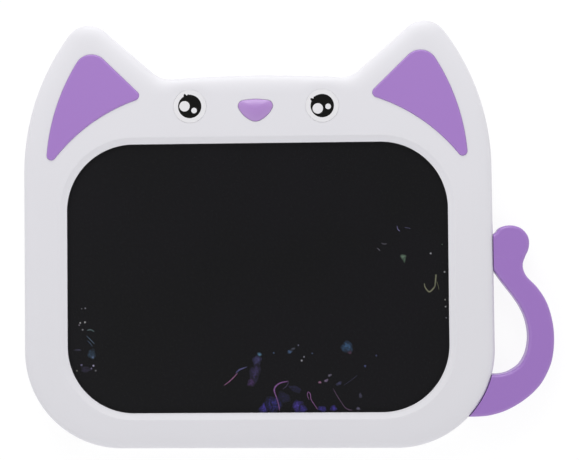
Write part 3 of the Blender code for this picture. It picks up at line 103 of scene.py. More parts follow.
# Upwards the room goes from pale to dark, between 30 and 19 degrees from +Z, and it is brighter towards
# the tablet's lower edge than towards its ears.
overhead = put(tree, "ShaderNodeMapRange", {
    "Value": parts.outputs["Z"], "From Min": 0.865, "From Max": 0.945, "To Min": 0.91, "To Max": 0.10},
    interpolation_type="SMOOTHSTEP")
sideways = put(tree, "ShaderNodeMapRange", {
    "Value": parts.outputs["Y"], "From Min": -1.0, "From Max": 1.0, "To Min": 1.45, "To Max": 0.55})
strength = put(tree, "ShaderNodeMath", {0: overhead.outputs[0], 1: sideways.outputs[0]}, operation="MULTIPLY")
lit = put(tree, "ShaderNodeBackground", {"Color": linear("#FDFDFF"), "Strength": strength.outputs[0]})
seen = put(tree, "ShaderNodeBackground", {"Color": (1, 1, 1, 1), "Strength": 1.0})
room_ray = put(tree, "ShaderNodeLightPath")
either = put(tree, "ShaderNodeMixShader", {
    0: room_ray.outputs["Is Camera Ray"], 1: lit.outputs[0], 2: seen.outputs[0]})
put(tree, "ShaderNodeOutputWorld", {"Surface": either.outputs[0]})


def lamp(name, place, aim, size, watts, tint):
    """A square soft box at a place, turned towards an aim, both in metres."""
    light = bpy.data.lights.new(name, "AREA")
    light.shape = "SQUARE"
    light.size = size
    light.energy = watts
    light.color = linear(tint)[:3]
    holder = bpy.data.objects.new(name, light)
    holder.location = place
    holder.rotation_euler = (Vector(aim) - Vector(place)).to_track_quat("-Z", "Y").to_euler()
    bpy.context.scene.collection.objects.link(holder)


lamp("soft box over the ears", (-0.06, 0.90, 0.45), (0.0, 0.05, 0.0), 0.65, 5.7, "#FFFFFF")

# The table is one-sided for the eye, so that the tablet's back can be seen from under it, and light
# that leaves the back for the table just below it goes through, so that the back isn't black.
table_top, tree = blank("matt white table laminate")
side = put(tree, "ShaderNodeNewGeometry")
ray = put(tree, "ShaderNodeLightPath")
close = put(tree, "ShaderNodeMath", {0: ray.outputs["Ray Length"], 1: 0.004}, operation="LESS_THAN")
paint = put(tree, "ShaderNodeBsdfDiffuse", {"Color": linear("#F4F4F5")})
shine = put(tree, "ShaderNodeEmission", {"Color": (1, 1, 1, 1), "Strength": 1.05})
bright = put(tree, "ShaderNodeMixShader", {0: 0.85, 1: paint.outputs[0], 2: shine.outputs[0]})
sight = put(tree, "ShaderNodeMath", {
    0: ray.outputs["Is Camera Ray"], 1: ray.outputs["Is Glossy Ray"]}, operation="MAXIMUM")
through = put(tree, "ShaderNodeMath", {
    0: sight.outputs[0], 1: ray.outputs["Is Transmission Ray"]}, operation="MAXIMUM")
white = put(tree, "ShaderNodeMixShader", {0: through.outputs[0], 1: paint.outputs[0], 2: bright.outputs[0]})
clear = put(tree, "ShaderNodeBsdfTransparent")
below = put(tree, "ShaderNodeMath", {
    0: side.outputs["Backfacing"], 1: ray.outputs["Is Camera Ray"]}, operation="MULTIPLY")
passed = put(tree, "ShaderNodeMath", {0: below.outputs[0], 1: close.outputs[0]}, operation="MAXIMUM")
shown = put(tree, "ShaderNodeMixShader", {0: passed.outputs[0], 1: white.outputs[0], 2: clear.outputs[0]})
put(tree, "ShaderNodeOutputMaterial", {"Surface": shown.outputs[0]})

reach, drop = 3.0, -0.00005
sheet = bpy.data.meshes.new("table_top")
sheet.from_pydata(
    [(-reach, -reach, drop), (reach, -reach, drop), (reach, reach, drop), (-reach, reach, drop)],
    [], [(0, 1, 2, 3)])
sheet.materials.append(table_top)
table = bpy.data.objects.new("table_top", sheet)
bpy.context.scene.collection.objects.link(table)


# The front shell
# A white ABS moulding: one plate with a 4 mm rounded rim, pockets for the ear inlays and eye caps,
# a hole for the nose and a window with a bevelled edge. It closes on the rear cover at a fine groove.
def arc(middle, radius, start, end, side=1, step=2.5):
    """Points along an arc, middle + radius * (cos a, sin a), with their outward normals, side *
    (cos a, sin a): side is -1 where the arc is hollow."""
    turns = np.radians(np.linspace(start, end, int(abs(end - start) / step) + 3))
    ways = np.column_stack([np.cos(turns), np.sin(turns)])
    return np.array(middle) + radius * ways, side * ways


def mirrored(points, normals):
    """The same run on the other side, x to -x, in the order that keeps it anticlockwise."""
    return points[::-1] * (-1, 1), normals[::-1] * (-1, 1)


def outline(*runs, spacing=1.5):
    """Runs joined to a closed anticlockwise outline. Extra points go in by length along it, so that
    no two are further apart than the spacing; each has its place and its outward normal."""
    points = np.concatenate([run[0] for run in runs])
    normals = np.concatenate([run[1] for run in runs])
    fresh = np.hypot(*(points - np.roll(points, 1, axis=0)).T) > 1e-6
    points, normals = points[fresh], normals[fresh]
    rows = np.column_stack([points, normals])
    rows = np.vstack([rows, rows[:1]])
    lengths = np.hypot(*np.diff(rows[:, :2], axis=0).T)
    gone = np.concatenate([[0.0], np.cumsum(lengths)])
    pieces = np.ceil(lengths / spacing).astype(int)
    starts = np.repeat(gone[:-1], pieces)
    order = np.arange(pieces.sum()) - np.repeat(np.cumsum(pieces) - pieces, pieces)
    stops = starts + order * np.repeat(lengths / pieces, pieces)
    filled = np.column_stack([np.interp(stops, gone, column) for column in rows.T])
    turned = filled[:, 2:] / np.linalg.norm(filled[:, 2:], axis=1)[:, None]
    return filled[:, :2], turned


def corner(out, up, radius, start, end, steps):
    """A rounded corner of a profile, as rows of (offset, height): (out, up) + radius * (cos a, sin a)."""
    turns = np.radians(np.linspace(start, end, steps + 1))
    return np.column_stack([out + radius * np.cos(turns), up + radius * np.sin(turns)])


def carried(shape, profile):
    """A profile carried along an outline: point (i, j) is place j moved along its normal by offset i,
    at height i. The profile runs so that outward is on its right when it goes up the outer wall."""
    points, normals = shape
    offsets, heights = np.asarray(profile, float).T
    flat = points[None] + offsets[:, None, None] * normals[None]
    return lifted(flat, heights[:, None, None])


def woven(grid, loop=True):
    """Four-sided faces over a grid of points, each joining (i, j), (i, j+1), (i+1, j+1), (i+1, j).
    On a loop the last column joins the first."""
    rows, columns = grid.shape[:2]
    number = np.arange(rows * columns).reshape(rows, columns)
    beyond = np.roll(number, -1, axis=1) if loop else number[:, 1:]
    here = number if loop else number[:, :-1]
    faces = np.stack([here[:-1], beyond[:-1], beyond[1:], here[1:]], axis=-1)
    return grid.reshape(-1, 3), faces.reshape(-1, 4)


def lifted(flat, heights, loop=True):
    """A grid of flat points put at their heights, one for all or one for each row, and woven into faces."""
    levels = np.broadcast_to(heights, flat.shape[:2] + (1,))
    return woven(np.concatenate([flat, levels], axis=2), loop)


def ring(shape, offset):
    """An outline moved out along its normals by an offset."""
    return shape[0] + offset * shape[1]


def filled(rings, height, up=True):
    """A flat face at one height inside the first ring and outside the others, in triangles. One that
    lies in a hole is dropped: from its middle, a line along +X crosses the rings an even number of times."""
    spots = np.concatenate(rings)
    ends = np.cumsum([len(one) for one in rings])
    after = np.arange(1, len(spots) + 1)
    after[ends - 1] = np.concatenate([[0], ends[:-1]])
    edges = np.column_stack([np.arange(len(spots)), after])
    found = delaunay_2d_cdt(spots.tolist(), edges.tolist(), [], 1, 1e-7)
    places = np.array(found[0])
    faces = np.array(found[2])
    middles = places[faces].mean(axis=1)
    (x0, y0), (x1, y1) = spots[edges[:, 0]].T, spots[edges[:, 1]].T
    x, y = middles[:, 0, None], middles[:, 1, None]
    rise = np.where(y1 == y0, 1.0, y1 - y0)
    beyond = ((y0 > y) != (y1 > y)) & (x < x0 + (y - y0) / rise * (x1 - x0))
    faces = faces[beyond.sum(axis=1) % 2 == 1]
    (ax, ay), (bx, by), (cx, cy) = (places[faces[:, at]].T for at in (0, 1, 2))
    turn = (bx - ax) * (cy - ay) - (by - ay) * (cx - ax) > 0
    faces = np.where((turn == up)[:, None], faces, faces[:, ::-1])
    faces = np.column_stack([faces, faces[:, 2]])
    return np.column_stack([places, np.full(len(places), height)]), faces


# Faces that meet at more than this angle keep a sharp edge between them; the rest is shaded as one.
sharp_angle = math.radians(32.0)


def piece(name, patches, finish, tints=None):
    """Patches of (points in mm, four-cornered faces) welded into one mesh object at the origin. A
    corner that repeats its neighbour is dropped, so that a pole or a triangle has three. Tints, one row
    for each point, become the colour attribute "tint"."""
    spots = np.concatenate([points for points, _ in patches])
    starts = np.cumsum([0] + [len(points) for points, _ in patches[:-1]])
    faces = np.concatenate([corners + start for (_, corners), start in zip(patches, starts)])
    keys = np.floor(spots / 0.0005 + 0.371).astype(np.int64)
    _, first, same = np.unique(keys, axis=0, return_index=True, return_inverse=True)
    faces = same.reshape(-1)[faces]
    kept = faces != np.roll(faces, 1, axis=1)
    counts = kept.sum(axis=1)
    sound = (counts > 2) & (faces[:, 0] != faces[:, 2]) & (faces[:, 1] != faces[:, 3])
    corners = faces[sound][kept[sound]]
    totals = counts[sound]
    mesh = bpy.data.meshes.new(name)
    mesh.vertices.add(len(first))
    mesh.vertices.foreach_set("co", (spots[first] * 0.001).astype(np.float32).ravel())
    mesh.loops.add(len(corners))
    mesh.loops.foreach_set("vertex_index", corners.astype(np.int32))
    mesh.polygons.add(len(totals))
    mesh.polygons.foreach_set("loop_start", (np.cumsum(totals) - totals).astype(np.int32))
    mesh.update(calc_edges=True)
    mesh.validate()
    mesh.shade_smooth()
    mesh.set_sharp_from_angle(angle=sharp_angle)
    if tints is not None:
        shades = mesh.color_attributes.new("tint", "FLOAT_COLOR", "POINT")
        shades.data.foreach_set("color", tints[first].astype(np.float32).ravel())
    mesh.materials.append(finish)
    made = bpy.data.objects.new(name, mesh)
    bpy.context.scene.collection.objects.link(made)
    return made


def plastic(name, code, deep, roughness, grain=0.35, relief=0.004):
    """A moulded plastic, coloured right through. The colour drifts very slightly over some tens of
    millimetres, as the melt does, and the steel mould's spark-eroded grain (0.1 mm on the real one,
    drawn as coarse as grain mm so that it shows) breaks the gloss."""
    made, tree = blank(name)
    spot = put(tree, "ShaderNodeTexCoord").outputs["Object"]
    flow = put(tree, "ShaderNodeTexNoise", {"Vector": spot, "Scale": 1000 / 60, "Detail": 2.0})
    tone = put(tree, "ShaderNodeMix", {
        0: flow.outputs[0], 6: linear(code), 7: linear(deep)}, data_type="RGBA")
    pits = put(tree, "ShaderNodeTexNoise", {
        "Vector": spot, "Scale": 1000 / grain, "Detail": 3.0, "Roughness": 0.6})
    gloss = put(tree, "ShaderNodeMapRange", {
        "Value": pits.outputs[0], "From Min": 0.3, "From Max": 0.7,
        "To Min": roughness - 0.04, "To Max": roughness + 0.05})
    bump = put(tree, "ShaderNodeBump", {
        "Height": pits.outputs[0], "Strength": 0.25, "Distance": relief * 0.001})
    body = put(tree, "ShaderNodeBsdfPrincipled", {
        "Base Color": tone.outputs[2], "Roughness": gloss.outputs[0], "IOR": 1.53,
        "Normal": bump.outputs[0]})
    put(tree, "ShaderNodeOutputMaterial", {"Surface": body.outputs[0]})
    return made


# White ABS from a spark-eroded mould: a cool white with a soft, even, low gloss.
white_abs = plastic("white moulded ABS", "#E1E0E4", "#DEDDE1", 0.47)


def reached(middle, distance, turn):
    """The point at a distance from a middle, turn degrees round from +X."""
    aim = math.radians(turn)
    return middle[0] + distance * math.cos(aim), middle[1] + distance * math.sin(aim)


# Arcs that meet are tangent, so one that curves the same way has its middle at the difference of their
# radii from the other's, towards their meeting point, and one that curves the other way at their sum.
side_middle, side_radius, brow_middle, brow_radius = (1.0, 49.5), 107.8, (0, -485.7), 579.8
tip_radius, tip_turn, valley_radius, valley_turn = 11.5, 36.6623, 12.7, 86.1527
upper_half = [
    arc(side_middle, side_radius, 0, tip_turn, step=1.2),
    arc(reached(side_middle, side_radius - tip_radius, tip_turn), tip_radius, tip_turn, 131.2),
    arc(reached(brow_middle, brow_radius + valley_radius, valley_turn), valley_radius, -48.8,
        valley_turn - 180, side=-1),
    arc(brow_middle, brow_radius, valley_turn, 90, step=0.4),
]
right_corner = arc((63.9, -33.6), 45.4, -90, 0)
left_corner = mirrored(*arc((63.6, -33.55), 45.2, -90, 0))
case = outline(right_corner, *upper_half, *[mirrored(*run) for run in upper_half[::-1]], left_corner)

window_x, window_y, window_radius = 57.4, 31.4, 30.9
window = outline(*[
    arc((x, y), window_radius, start, start + 90) for x, y, start in (
        (window_x, window_y, 0), (-window_x, window_y, 90),
        (-window_x, -window_y, 180), (window_x, -window_y, 270))], spacing=4.0)

inlay_radius, hollow_middle, hollow_radius = 96.9, (29.4, 5.2), 82.0
low_turn, high_turn, hollow_high, hollow_low = 4.8683, 31.8837, 71.311, 38.4313
ear = outline(
    arc(side_middle, inlay_radius, low_turn, high_turn, step=1.0),
    arc(reached(side_middle, inlay_radius - 8.1, high_turn), 8.1, high_turn, 134.2, step=4),
    arc(reached(hollow_middle, hollow_radius + 2.3, hollow_high), 2.3, 134.2, hollow_high + 180, step=8),
    arc(hollow_middle, hollow_radius, hollow_high, hollow_low, side=-1, step=1.0),
    arc(reached(side_middle, inlay_radius - 2.2, low_turn), 2.2, hollow_low - 180, low_turn, step=8),
    spacing=2.5)
other_ear = mirrored(*ear)
eye_radius = 7.65
eye_middles = np.array([(-30.5, 79.6), (30.95, 79.22)])
eye_rims = [outline(arc(middle, eye_radius, 0, 357, step=4)) for middle in eye_middles]


def rounded(corners, step=7.0):
    """A closed outline of straight edges with rounded corners, (x, y, radius) each, anticlockwise:
    each arc's middle lies on the corner's bisector, radius / sin(half the corner) away from it."""
    places = np.array(corners, float)
    spots, radii = places[:, :2], places[:, 2]
    back = np.roll(spots, 1, axis=0) - spots
    on = np.roll(spots, -1, axis=0) - spots
    before = np.degrees(np.arctan2(back[:, 1], back[:, 0]))
    after = np.degrees(np.arctan2(on[:, 1], on[:, 0]))
    between = (before - after) % 360
    aim = np.radians(after + between / 2)
    away = radii / np.sin(np.radians(between / 2))
    middles = spots + away[:, None] * np.column_stack([np.cos(aim), np.sin(aim)])
    return outline(*[
        arc(middle, radius, start + 90, start + 270 - gap, step=step)
        for middle, radius, start, gap in zip(middles, radii, before, between)])


nose = rounded([
    (0, 71.85, 4.5), (5.95, 74.8, 11.5), (9.4, 81.7, 2.6),
    (0, 82.8, 15.8), (-9.4, 81.7, 2.6), (-5.95, 74.8, 11.5)])

# Heights over the table of the plate's two faces and of the groove where the halves part, and the wall.
top, under, parting = 14.0, 12.0, 8.15
wall = 2.2
# The nine screws, and the directions of the tail's tongues at the two of them that hold it.
screws = [(99.5, 12.0), (-99.5, 12.0), (93.0076, -54.2914), (-93.0076, -54.2914),
          (85.0, 85.0), (-85.0, 85.0), (46.8, 76.5), (-46.8, 76.5), (46.0, -71.8)]
tongues = {screws[0]: 0.0, screws[2]: -35.0}
tongue_room, under_tongue, over_tongue = 5.9, 5.7, 10.3


def notched(patch, rim, far, level):
    """Draws the rim of a carried wall back from the tail's tongues: within the tongue's room to either
    side of its line, heights between the rim and far are squeezed to lie between level and far."""
    points, faces = patch
    points = points.copy()
    for screw_place, turn in tongues.items():
        way = np.array([math.cos(math.radians(turn)), math.sin(math.radians(turn))])
        away = points[:, :2] - screw_place
        aside = np.abs(away @ np.array([-way[1], way[0]]))
        near = (aside < tongue_room) & (away @ way > 0)
        share = np.clip((points[:, 2] - far) / (rim - far), 0, 1)
        points[:, 2] = np.where(near & (share > 0), far + share * (level - far), points[:, 2])
    return points, faces


def eased(rise, run, low, steps):
    """The rim's round, tight at the side wall and long and soft where it meets the flat: out is run
    times the cosine of a turn, less run, and up is rise times its sine to the power 0.7."""
    turns = np.radians(90 * np.linspace(0, 1, steps + 1) ** 1.4)
    return np.column_stack([run * (np.cos(turns) - 1), low + rise * np.sin(turns) ** 0.7])


inner_round, groove_edge, round_rise, round_run = 2.2, 0.25, 4.0, 9.0
plate_edge = -wall - inner_round - 0.4
rim_profile = np.vstack([
    [(plate_edge, under), (-wall - inner_round, under)],
    corner(-wall - inner_round, under - inner_round, inner_round, 90, 0, 5),
    [(-wall, parting)],
    corner(-groove_edge, parting + groove_edge, groove_edge, -90, 0, 3),
    [(0, 9.0), (0, top - round_rise)],
])
# The round is 9 mm wide, but over the eyes it narrows to 5.2 mm, to end short of their pockets.
narrowing = 0.42 * np.exp(-((np.abs(case[0][:, 0]) - 32) / 9) ** 4) * (case[0][:, 1] > 80)
soft_case = (case[0], case[1] * (1 - narrowing)[:, None])
flat_edge = -round_run - 0.3
round_profile = np.vstack([eased(round_rise, round_run, top - round_rise, 24), [(flat_edge, top)]])
# From the flat a soft edge falls to a bevel, which ends in a small bead around the window.
window_profile = np.vstack([
    [(3.9, top), (3.4, top)],
    corner(3.4, top - 1.2, 1.2, 90, 116, 4),
    [(0.95, 12.79), (0.75, 12.74), (0.5, 12.72)],
    corner(0.30, 12.52, 0.20, 90, 180, 4),
    [(0.1, 12.2)],
    corner(0.25, under + 0.15, 0.15, 180, 270, 2),
    [(0.6, under), (1.0, under)],
])


ear_gap, eye_gap, nose_gap, lip = 0.02, 0.05, 0.12, 0.06
pocket_floor = 12.8
lip_border = lip + 0.3


def pocket(shape, gap, floor, out=-0.4):
    """A pocket's edge: the flat top, a small rounded lip, the wall and, out from it, the floor's border."""
    return carried(shape, np.vstack([
        [(gap + lip_border, top), (gap + lip, top)],
        corner(gap + lip, top - lip, lip, 90, 180, 4),
        [(gap, floor), (gap + out, floor)]]))


pockets = [(ear, ear_gap), (other_ear, ear_gap)] + [(rim, eye_gap) for rim in eye_rims]
edges_of_top = [ring(soft_case, flat_edge), ring(window, 3.9), ring(nose, nose_gap + lip_border)]
edges_of_top += [ring(shape, gap + lip_border) for shape, gap in pockets]
front_patches = [
    notched(carried(case, rim_profile), parting, 11.4, over_tongue),
    carried(soft_case, round_profile),
    carried(window, window_profile),
    filled(edges_of_top, top),
    filled([ring(case, plate_edge), ring(window, 1.0), ring(nose, nose_gap + 0.4)], under, up=False),
    pocket(nose, nose_gap, under, out=0.4),
]
for shape, gap in pockets:
    front_patches += [pocket(shape, gap, pocket_floor), filled([ring(shape, gap - 0.4)], pocket_floor)]


def spun(middle, profile, steps):
    """A profile of (radius, height) rows turned about an upright line: point (i, j) is the middle
    plus radius i * (cos a, sin a) at height i, with a going once round as j does."""
    radii, heights = np.asarray(profile, float).T
    turns = np.linspace(0, 2 * math.pi, steps, endpoint=False)
    circle = np.column_stack([np.cos(turns), np.sin(turns)])
    flat = np.array(middle) + radii[:, None, None] * circle[None]
    return lifted(flat, heights[:, None, None])


boss_radius, bore_radius, bore_end = 3.7, 1.6, 11.2
for place in screws:
    low = over_tongue if place in tongues else parting
    front_patches.append(spun(place, [
        (0, bore_end), (bore_radius, bore_end), (bore_radius, low), (boss_radius - 0.2, low),
        (boss_radius, low + 0.2), (boss_radius, 11.7), (boss_radius + 0.4, 12.2), (0, 12.2)], 24))
front = piece("front_bezel", front_patches, white_abs)
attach(front, "casing")
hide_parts("front_shell")


# The screen
# A pressure-sensitive liquid crystal film, laminated in clear PET: matt black where it is erased. It is
# held to the front's underside by a black foam tape and backed by a thin grey board.
def mottled(tree, spot, first, second, size_mm, detail=3.0):
    """A colour that drifts between two, over a given size in mm."""
    drift = put(tree, "ShaderNodeTexNoise", {"Vector": spot, "Scale": 1000 / size_mm, "Detail": detail})
    spread = put(tree, "ShaderNodeMapRange", {"Value": drift.outputs[0], "From Min": 0.35, "From Max": 0.65})
    return put(tree, "ShaderNodeMix", {0: spread.outputs[0], 6: first, 7: second}, data_type="RGBA")


# The film is black with a low sheen: its matt hard coat, etched a few hundredths of a millimetre fine and
# drawn at half a millimetre, blurs what the room throws on it.
film_black = "#0B0B0D"
lcd_pet, tree = blank("PET laminated liquid crystal film")
spot = put(tree, "ShaderNodeTexCoord").outputs["Object"]
tone = mottled(tree, spot, linear(film_black), linear("#0D0C10"), 45)
coat = put(tree, "ShaderNodeTexNoise", {"Vector": spot, "Scale": 1000 / 0.5, "Detail": 2.0})
matt = put(tree, "ShaderNodeMapRange", {"Value": coat.outputs[0], "To Min": 0.22, "To Max": 0.30})
etched = put(tree, "ShaderNodeBump", {"Height": coat.outputs[0], "Strength": 0.3, "Distance": 0.000002})
body = put(tree, "ShaderNodeBsdfPrincipled", {
    "Base Color": tone.outputs[2], "Roughness": matt.outputs[0], "IOR": 1.58, "Normal": etched.outputs[0]})
put(tree, "ShaderNodeOutputMaterial", {"Surface": body.outputs[0]})
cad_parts["lcd_film"].data.materials.clear()
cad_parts["lcd_film"].data.materials.append(lcd_pet)


# The ear inlays
# Purple ABS plates, moulded apart and pressed into the ears' pockets. They stand 0.6 mm proud, and
# their rims are rounded over, so that the upper edge catches the light.
def slab(shape, low, high, edge, holes=(), steps=4):
    """A flat piece: an outline carried up a wall whose edges are quarter rounds, and closed by a flat
    face below and above. Holes are outlines too, and their walls run down."""
    border = 0.25
    wall_up = np.vstack([
        [(-edge - border, low)], corner(-edge, low + edge, edge, -90, 0, steps),
        corner(-edge, high - edge, edge, 0, 90, steps), [(-edge - border, high)]])
    patches = [carried(shape, wall_up)]
    patches += [carried(hole, (wall_up * (-1, 1))[::-1]) for hole in holes]
    for level, up in ((low, False), (high, True)):
        rings = [ring(shape, -edge - border)] + [ring(hole, edge + border) for hole in holes]
        patches.append(filled(rings, level, up))
    return patches


# Satin purple, with a highlight that stays soft along the rounded rim.
purple_ear = plastic("purple moulded ABS, satin", "#A67DC6", "#A27AC3", 0.38)
for name, shape in (("left_ear_inlay", other_ear), ("right_ear_inlay", ear)):
    inlay = piece(name.replace("inlay", "plate"), slab(shape, 12.85, 14.6, 0.85, steps=8), purple_ear)
    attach(inlay, "casing")
    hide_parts(name)


# The eyes
# Round white caps pressed into their pockets by hand, so that the same print stands turned by 35
# degrees from one to the other. The pupil is pad printed in black ink, with two spots left bare.
# They come from a polished mould, so they are whiter and glossier than the shell around them.
white_cap = plastic("white moulded ABS, polished", "#E7E6E8", "#E4E3E5", 0.34)


def even(name, code, deep, size_mm, roughness, ior, detail=3.0):
    """A finish without grain, whose colour drifts between two over a size in mm."""
    made, tree = blank(name)
    spot = put(tree, "ShaderNodeTexCoord").outputs["Object"]
    tone = mottled(tree, spot, linear(code), linear(deep), size_mm, detail)
    body = put(tree, "ShaderNodeBsdfPrincipled", {
        "Base Color": tone.outputs[2], "Roughness": roughness, "IOR": ior})
    put(tree, "ShaderNodeOutputMaterial", {"Surface": body.outputs[0]})
    return made


# Ink from a soft pad: a thin glossy black that varies a little where it was pressed thinner.
pupil_ink = even("black pad printing ink", "#090908", "#0F0F0D", 1.2, 0.26, 1.5)


def rightward(along):
    """The unit directions that lie to the right of given ones."""
    return np.column_stack([along[:, 1], -along[:, 0]]) / np.hypot(*along.T)[:, None]


def pupil(middle, turn):
    """The print's outline: a radius of 5.42, and on it the lash's long tip, a notch and two low tips, each
    height * (1 - (angle from its middle / half its width)^2)^1.3."""
    turns = np.linspace(0, 2 * math.pi, 240, endpoint=False)
    radii = np.full(turns.shape, 5.42)
    for at, half, tip in ((113.5, 8.0, 0.95), (105.0, 4.0, -0.2), (97.5, 6.5, 0.26), (87.0, 6.0, 0.10)):
        away = (np.degrees(turns) - at - turn + 180) % 360 - 180
        radii += tip * np.clip(1 - (away / half) ** 2, 0, 1) ** 1.3
    spots = np.column_stack([np.cos(turns), np.sin(turns)]) * radii[:, None]
    return spots + middle, rightward(np.roll(spots, -1, axis=0) - np.roll(spots, 1, axis=0))


cap_low, cap_high, ink_high = 12.9, 14.14, 14.16
for name, middle, rim, turn in zip(("left_eye_cap", "right_eye_cap"), eye_middles, eye_rims, (0.0, 35.0)):
    cap = piece(name.replace("cap", "button"), slab(rim, cap_low, cap_high, 0.14), white_cap)
    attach(cap, "casing")
    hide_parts(name)
    bare = []
    for away, angle, radius in ((2.43, 176.6, 2.42), (2.75, -43.4, 1.30)):
        bare.append(outline(arc(reached(middle, away, angle + turn), radius, 0, 360, step=6)))
    ink = slab(pupil(middle, turn), ink_high - 0.06, ink_high, 0.02, bare, 2)
    pupil_print = piece(name.replace("cap", "print"), ink, pupil_ink)
    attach(pupil_print, "casing")


# The nose
# The erase key: a domed purple ABS button that comes up through a hole in the front. A flange under
# the plate holds it in, and its stem presses the switch on the board.
def crowned(shape, middle, rim, rise):
    """A shallow dome over an outline: ring k is middle + s * (rim - middle), at height rim height + rise
    * (1 - s^2), with s from 1 at the rim to 0 at the middle."""
    offset, level = rim
    edge = ring(shape, offset)
    shares = np.linspace(1, 0, 8)[:, None, None]
    flat = np.array(middle) + shares * (edge - middle)[None]
    return lifted(flat, level + rise * (1 - shares ** 2))


# A lighter, glossier purple than the tail's: the dome spreads the soft box into a pale band.
purple_nose = plastic("purple moulded ABS, glossy", "#B18CCA", "#AD87C7", 0.33)
flange, flange_low, flange_high, key_high, stem = 1.2, 10.9, 11.7, 15.4, 1.6
key_wall = np.vstack([
    [(flange / 2, flange_low), (flange, flange_low), (flange, flange_high), (0.15, flange_high),
     (0, flange_high + 0.15)], corner(-0.4, 13.9, 0.4, 0, 65, 5)])
key = piece("nose_key", [
    filled([ring(nose, flange / 2)], flange_low, up=False),
    carried(nose, key_wall),
    crowned(nose, (0, 78.2), key_wall[-1], key_high - key_wall[-1][1]),
    spun((0, 77.7), [(0, 10.8), (stem, 10.8), (stem, 11.2), (0, 11.2)], 24),
], purple_nose)
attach(key, "nose")
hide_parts("nose_button")


# The tail
# A curled carrying handle in purple ABS with flat faces and rounded edges. Two tongues run from it
# through the casing's wall, and two of the case screws pass through them.
def smooth(points, steps=8):
    """A Catmull-Rom curve through points: between b and c, with neighbours a and d, it is half of 2b +
    (c - a) t + (2a - 5b + 4c - d) t^2 + (3b - a - 3c + d) t^3. Its normals point to its right."""
    b, c = points[:-1], points[1:]
    a, d = np.vstack([points[:1], points[:-2]]), np.vstack([points[2:], points[-1:]])
    t = (np.arange(steps) / steps)[None, :, None]
    a, b, c, d = (one[:, None, :] for one in (a, b, c, d))
    run = (2 * b + (c - a) * t + (2 * a - 5 * b + 4 * c - d) * t ** 2 + (3 * b - a - 3 * c + d) * t ** 3) / 2
    run = np.vstack([run.reshape(-1, 2), points[-1:]])
    return run, rightward(np.gradient(run, axis=0))


def travelled(points):
    """How far along their line points are, from 0 at the first."""
    return np.concatenate([[0], np.cumsum(np.hypot(*np.diff(points, axis=0).T))])


def wheeled(points, turn):
    """Points turned anticlockwise about the origin, by degrees."""
    aim = math.radians(turn)
    return points @ np.array([[math.cos(aim), math.sin(aim)], [-math.sin(aim), math.cos(aim)]])


outer_run = smooth(np.array([
    (90.0, -64.4), (97.7, -64.8), (104.6, -64.5), (109.2, -63.6), (113.8, -62.1), (118.4, -59.8),
    (123.0, -56.8), (127.6, -52.8), (131.5, -47.8), (135.1, -39.8), (136.4, -30.9), (135.9, -21.9),
    (133.4, -12.8), (129.2, -5.8), (124.0, -0.1), (122.5, 4.6), (123.7, 8.7), (125.1, 11.7), (125.6, 15.2),
    (124.8, 18.5), (122.1, 21.6), (118.4, 23.0), (114.6, 22.9), (111.9, 21.7), (110.1, 19.6), (104.0, 16.0)]))
inner_run = smooth(np.array([
    (105.0, 9.0), (112.0, -1.6), (118.2, -9.8), (121.7, -15.4), (123.9, -21.0), (124.9, -28.0),
    (123.9, -35.0), (121.3, -40.2), (118.5, -42.7), (114.4, -44.8), (108.8, -45.5), (98.0, -44.6)]))
# It sits on the casing's wall with a fine gap.
seat = ring(case, 0.08)
seat_length = travelled(seat)


def clear_of_case(points):
    """How far points are outside the seat, by its nearest point, and how far along it they are."""
    gap = points[:, None, :] - seat[None]
    near = np.argmin((gap ** 2).sum(axis=2), axis=1)
    span = gap[np.arange(len(points)), near]
    out = (span * case[1][near]).sum(axis=1)
    along = (span * np.column_stack([-case[1][near][:, 1], case[1][near][:, 0]])).sum(axis=1)
    return out, seat_length[near] + along


def cut_to_seat(run, offset, count):
    """A run moved out along its normals, cut where it enters the casing and shared evenly again; and
    the two places along the seat where it was cut."""
    points = run[0] + offset * run[1]
    out, along = clear_of_case(points)
    free = np.flatnonzero(out > 0)
    first, last = free[0], free[-1]
    before = first - out[first] / (out[first] - out[first - 1])
    after = last + out[last] / (out[last] - out[last + 1])
    order = np.arange(len(points))
    stops = np.concatenate([[before], order[first:last + 1], [after]])
    kept = np.column_stack([np.interp(stops, order, column) for column in points.T])
    gone = travelled(kept)
    stops = np.linspace(0, gone[-1], count)
    shared = np.column_stack([np.interp(stops, gone, column) for column in kept.T])
    return shared, np.interp([before, after], order, along)


def tail_ring(offset):
    """The tail's outline with its free edges moved out by an offset, and its seats left in place."""
    outer, (low, high) = cut_to_seat(outer_run, offset, 150)
    inner, (upper, lower) = cut_to_seat(inner_run, offset, 110)
    sides = []
    for start, end, count in ((high, upper, 20), (lower, low, 28)):
        stops = np.linspace(start, end, count)[1:-1]
        sides.append(np.column_stack([np.interp(stops, seat_length, column) for column in seat.T]))
    return np.vstack([outer, sides[0], inner, sides[1]])


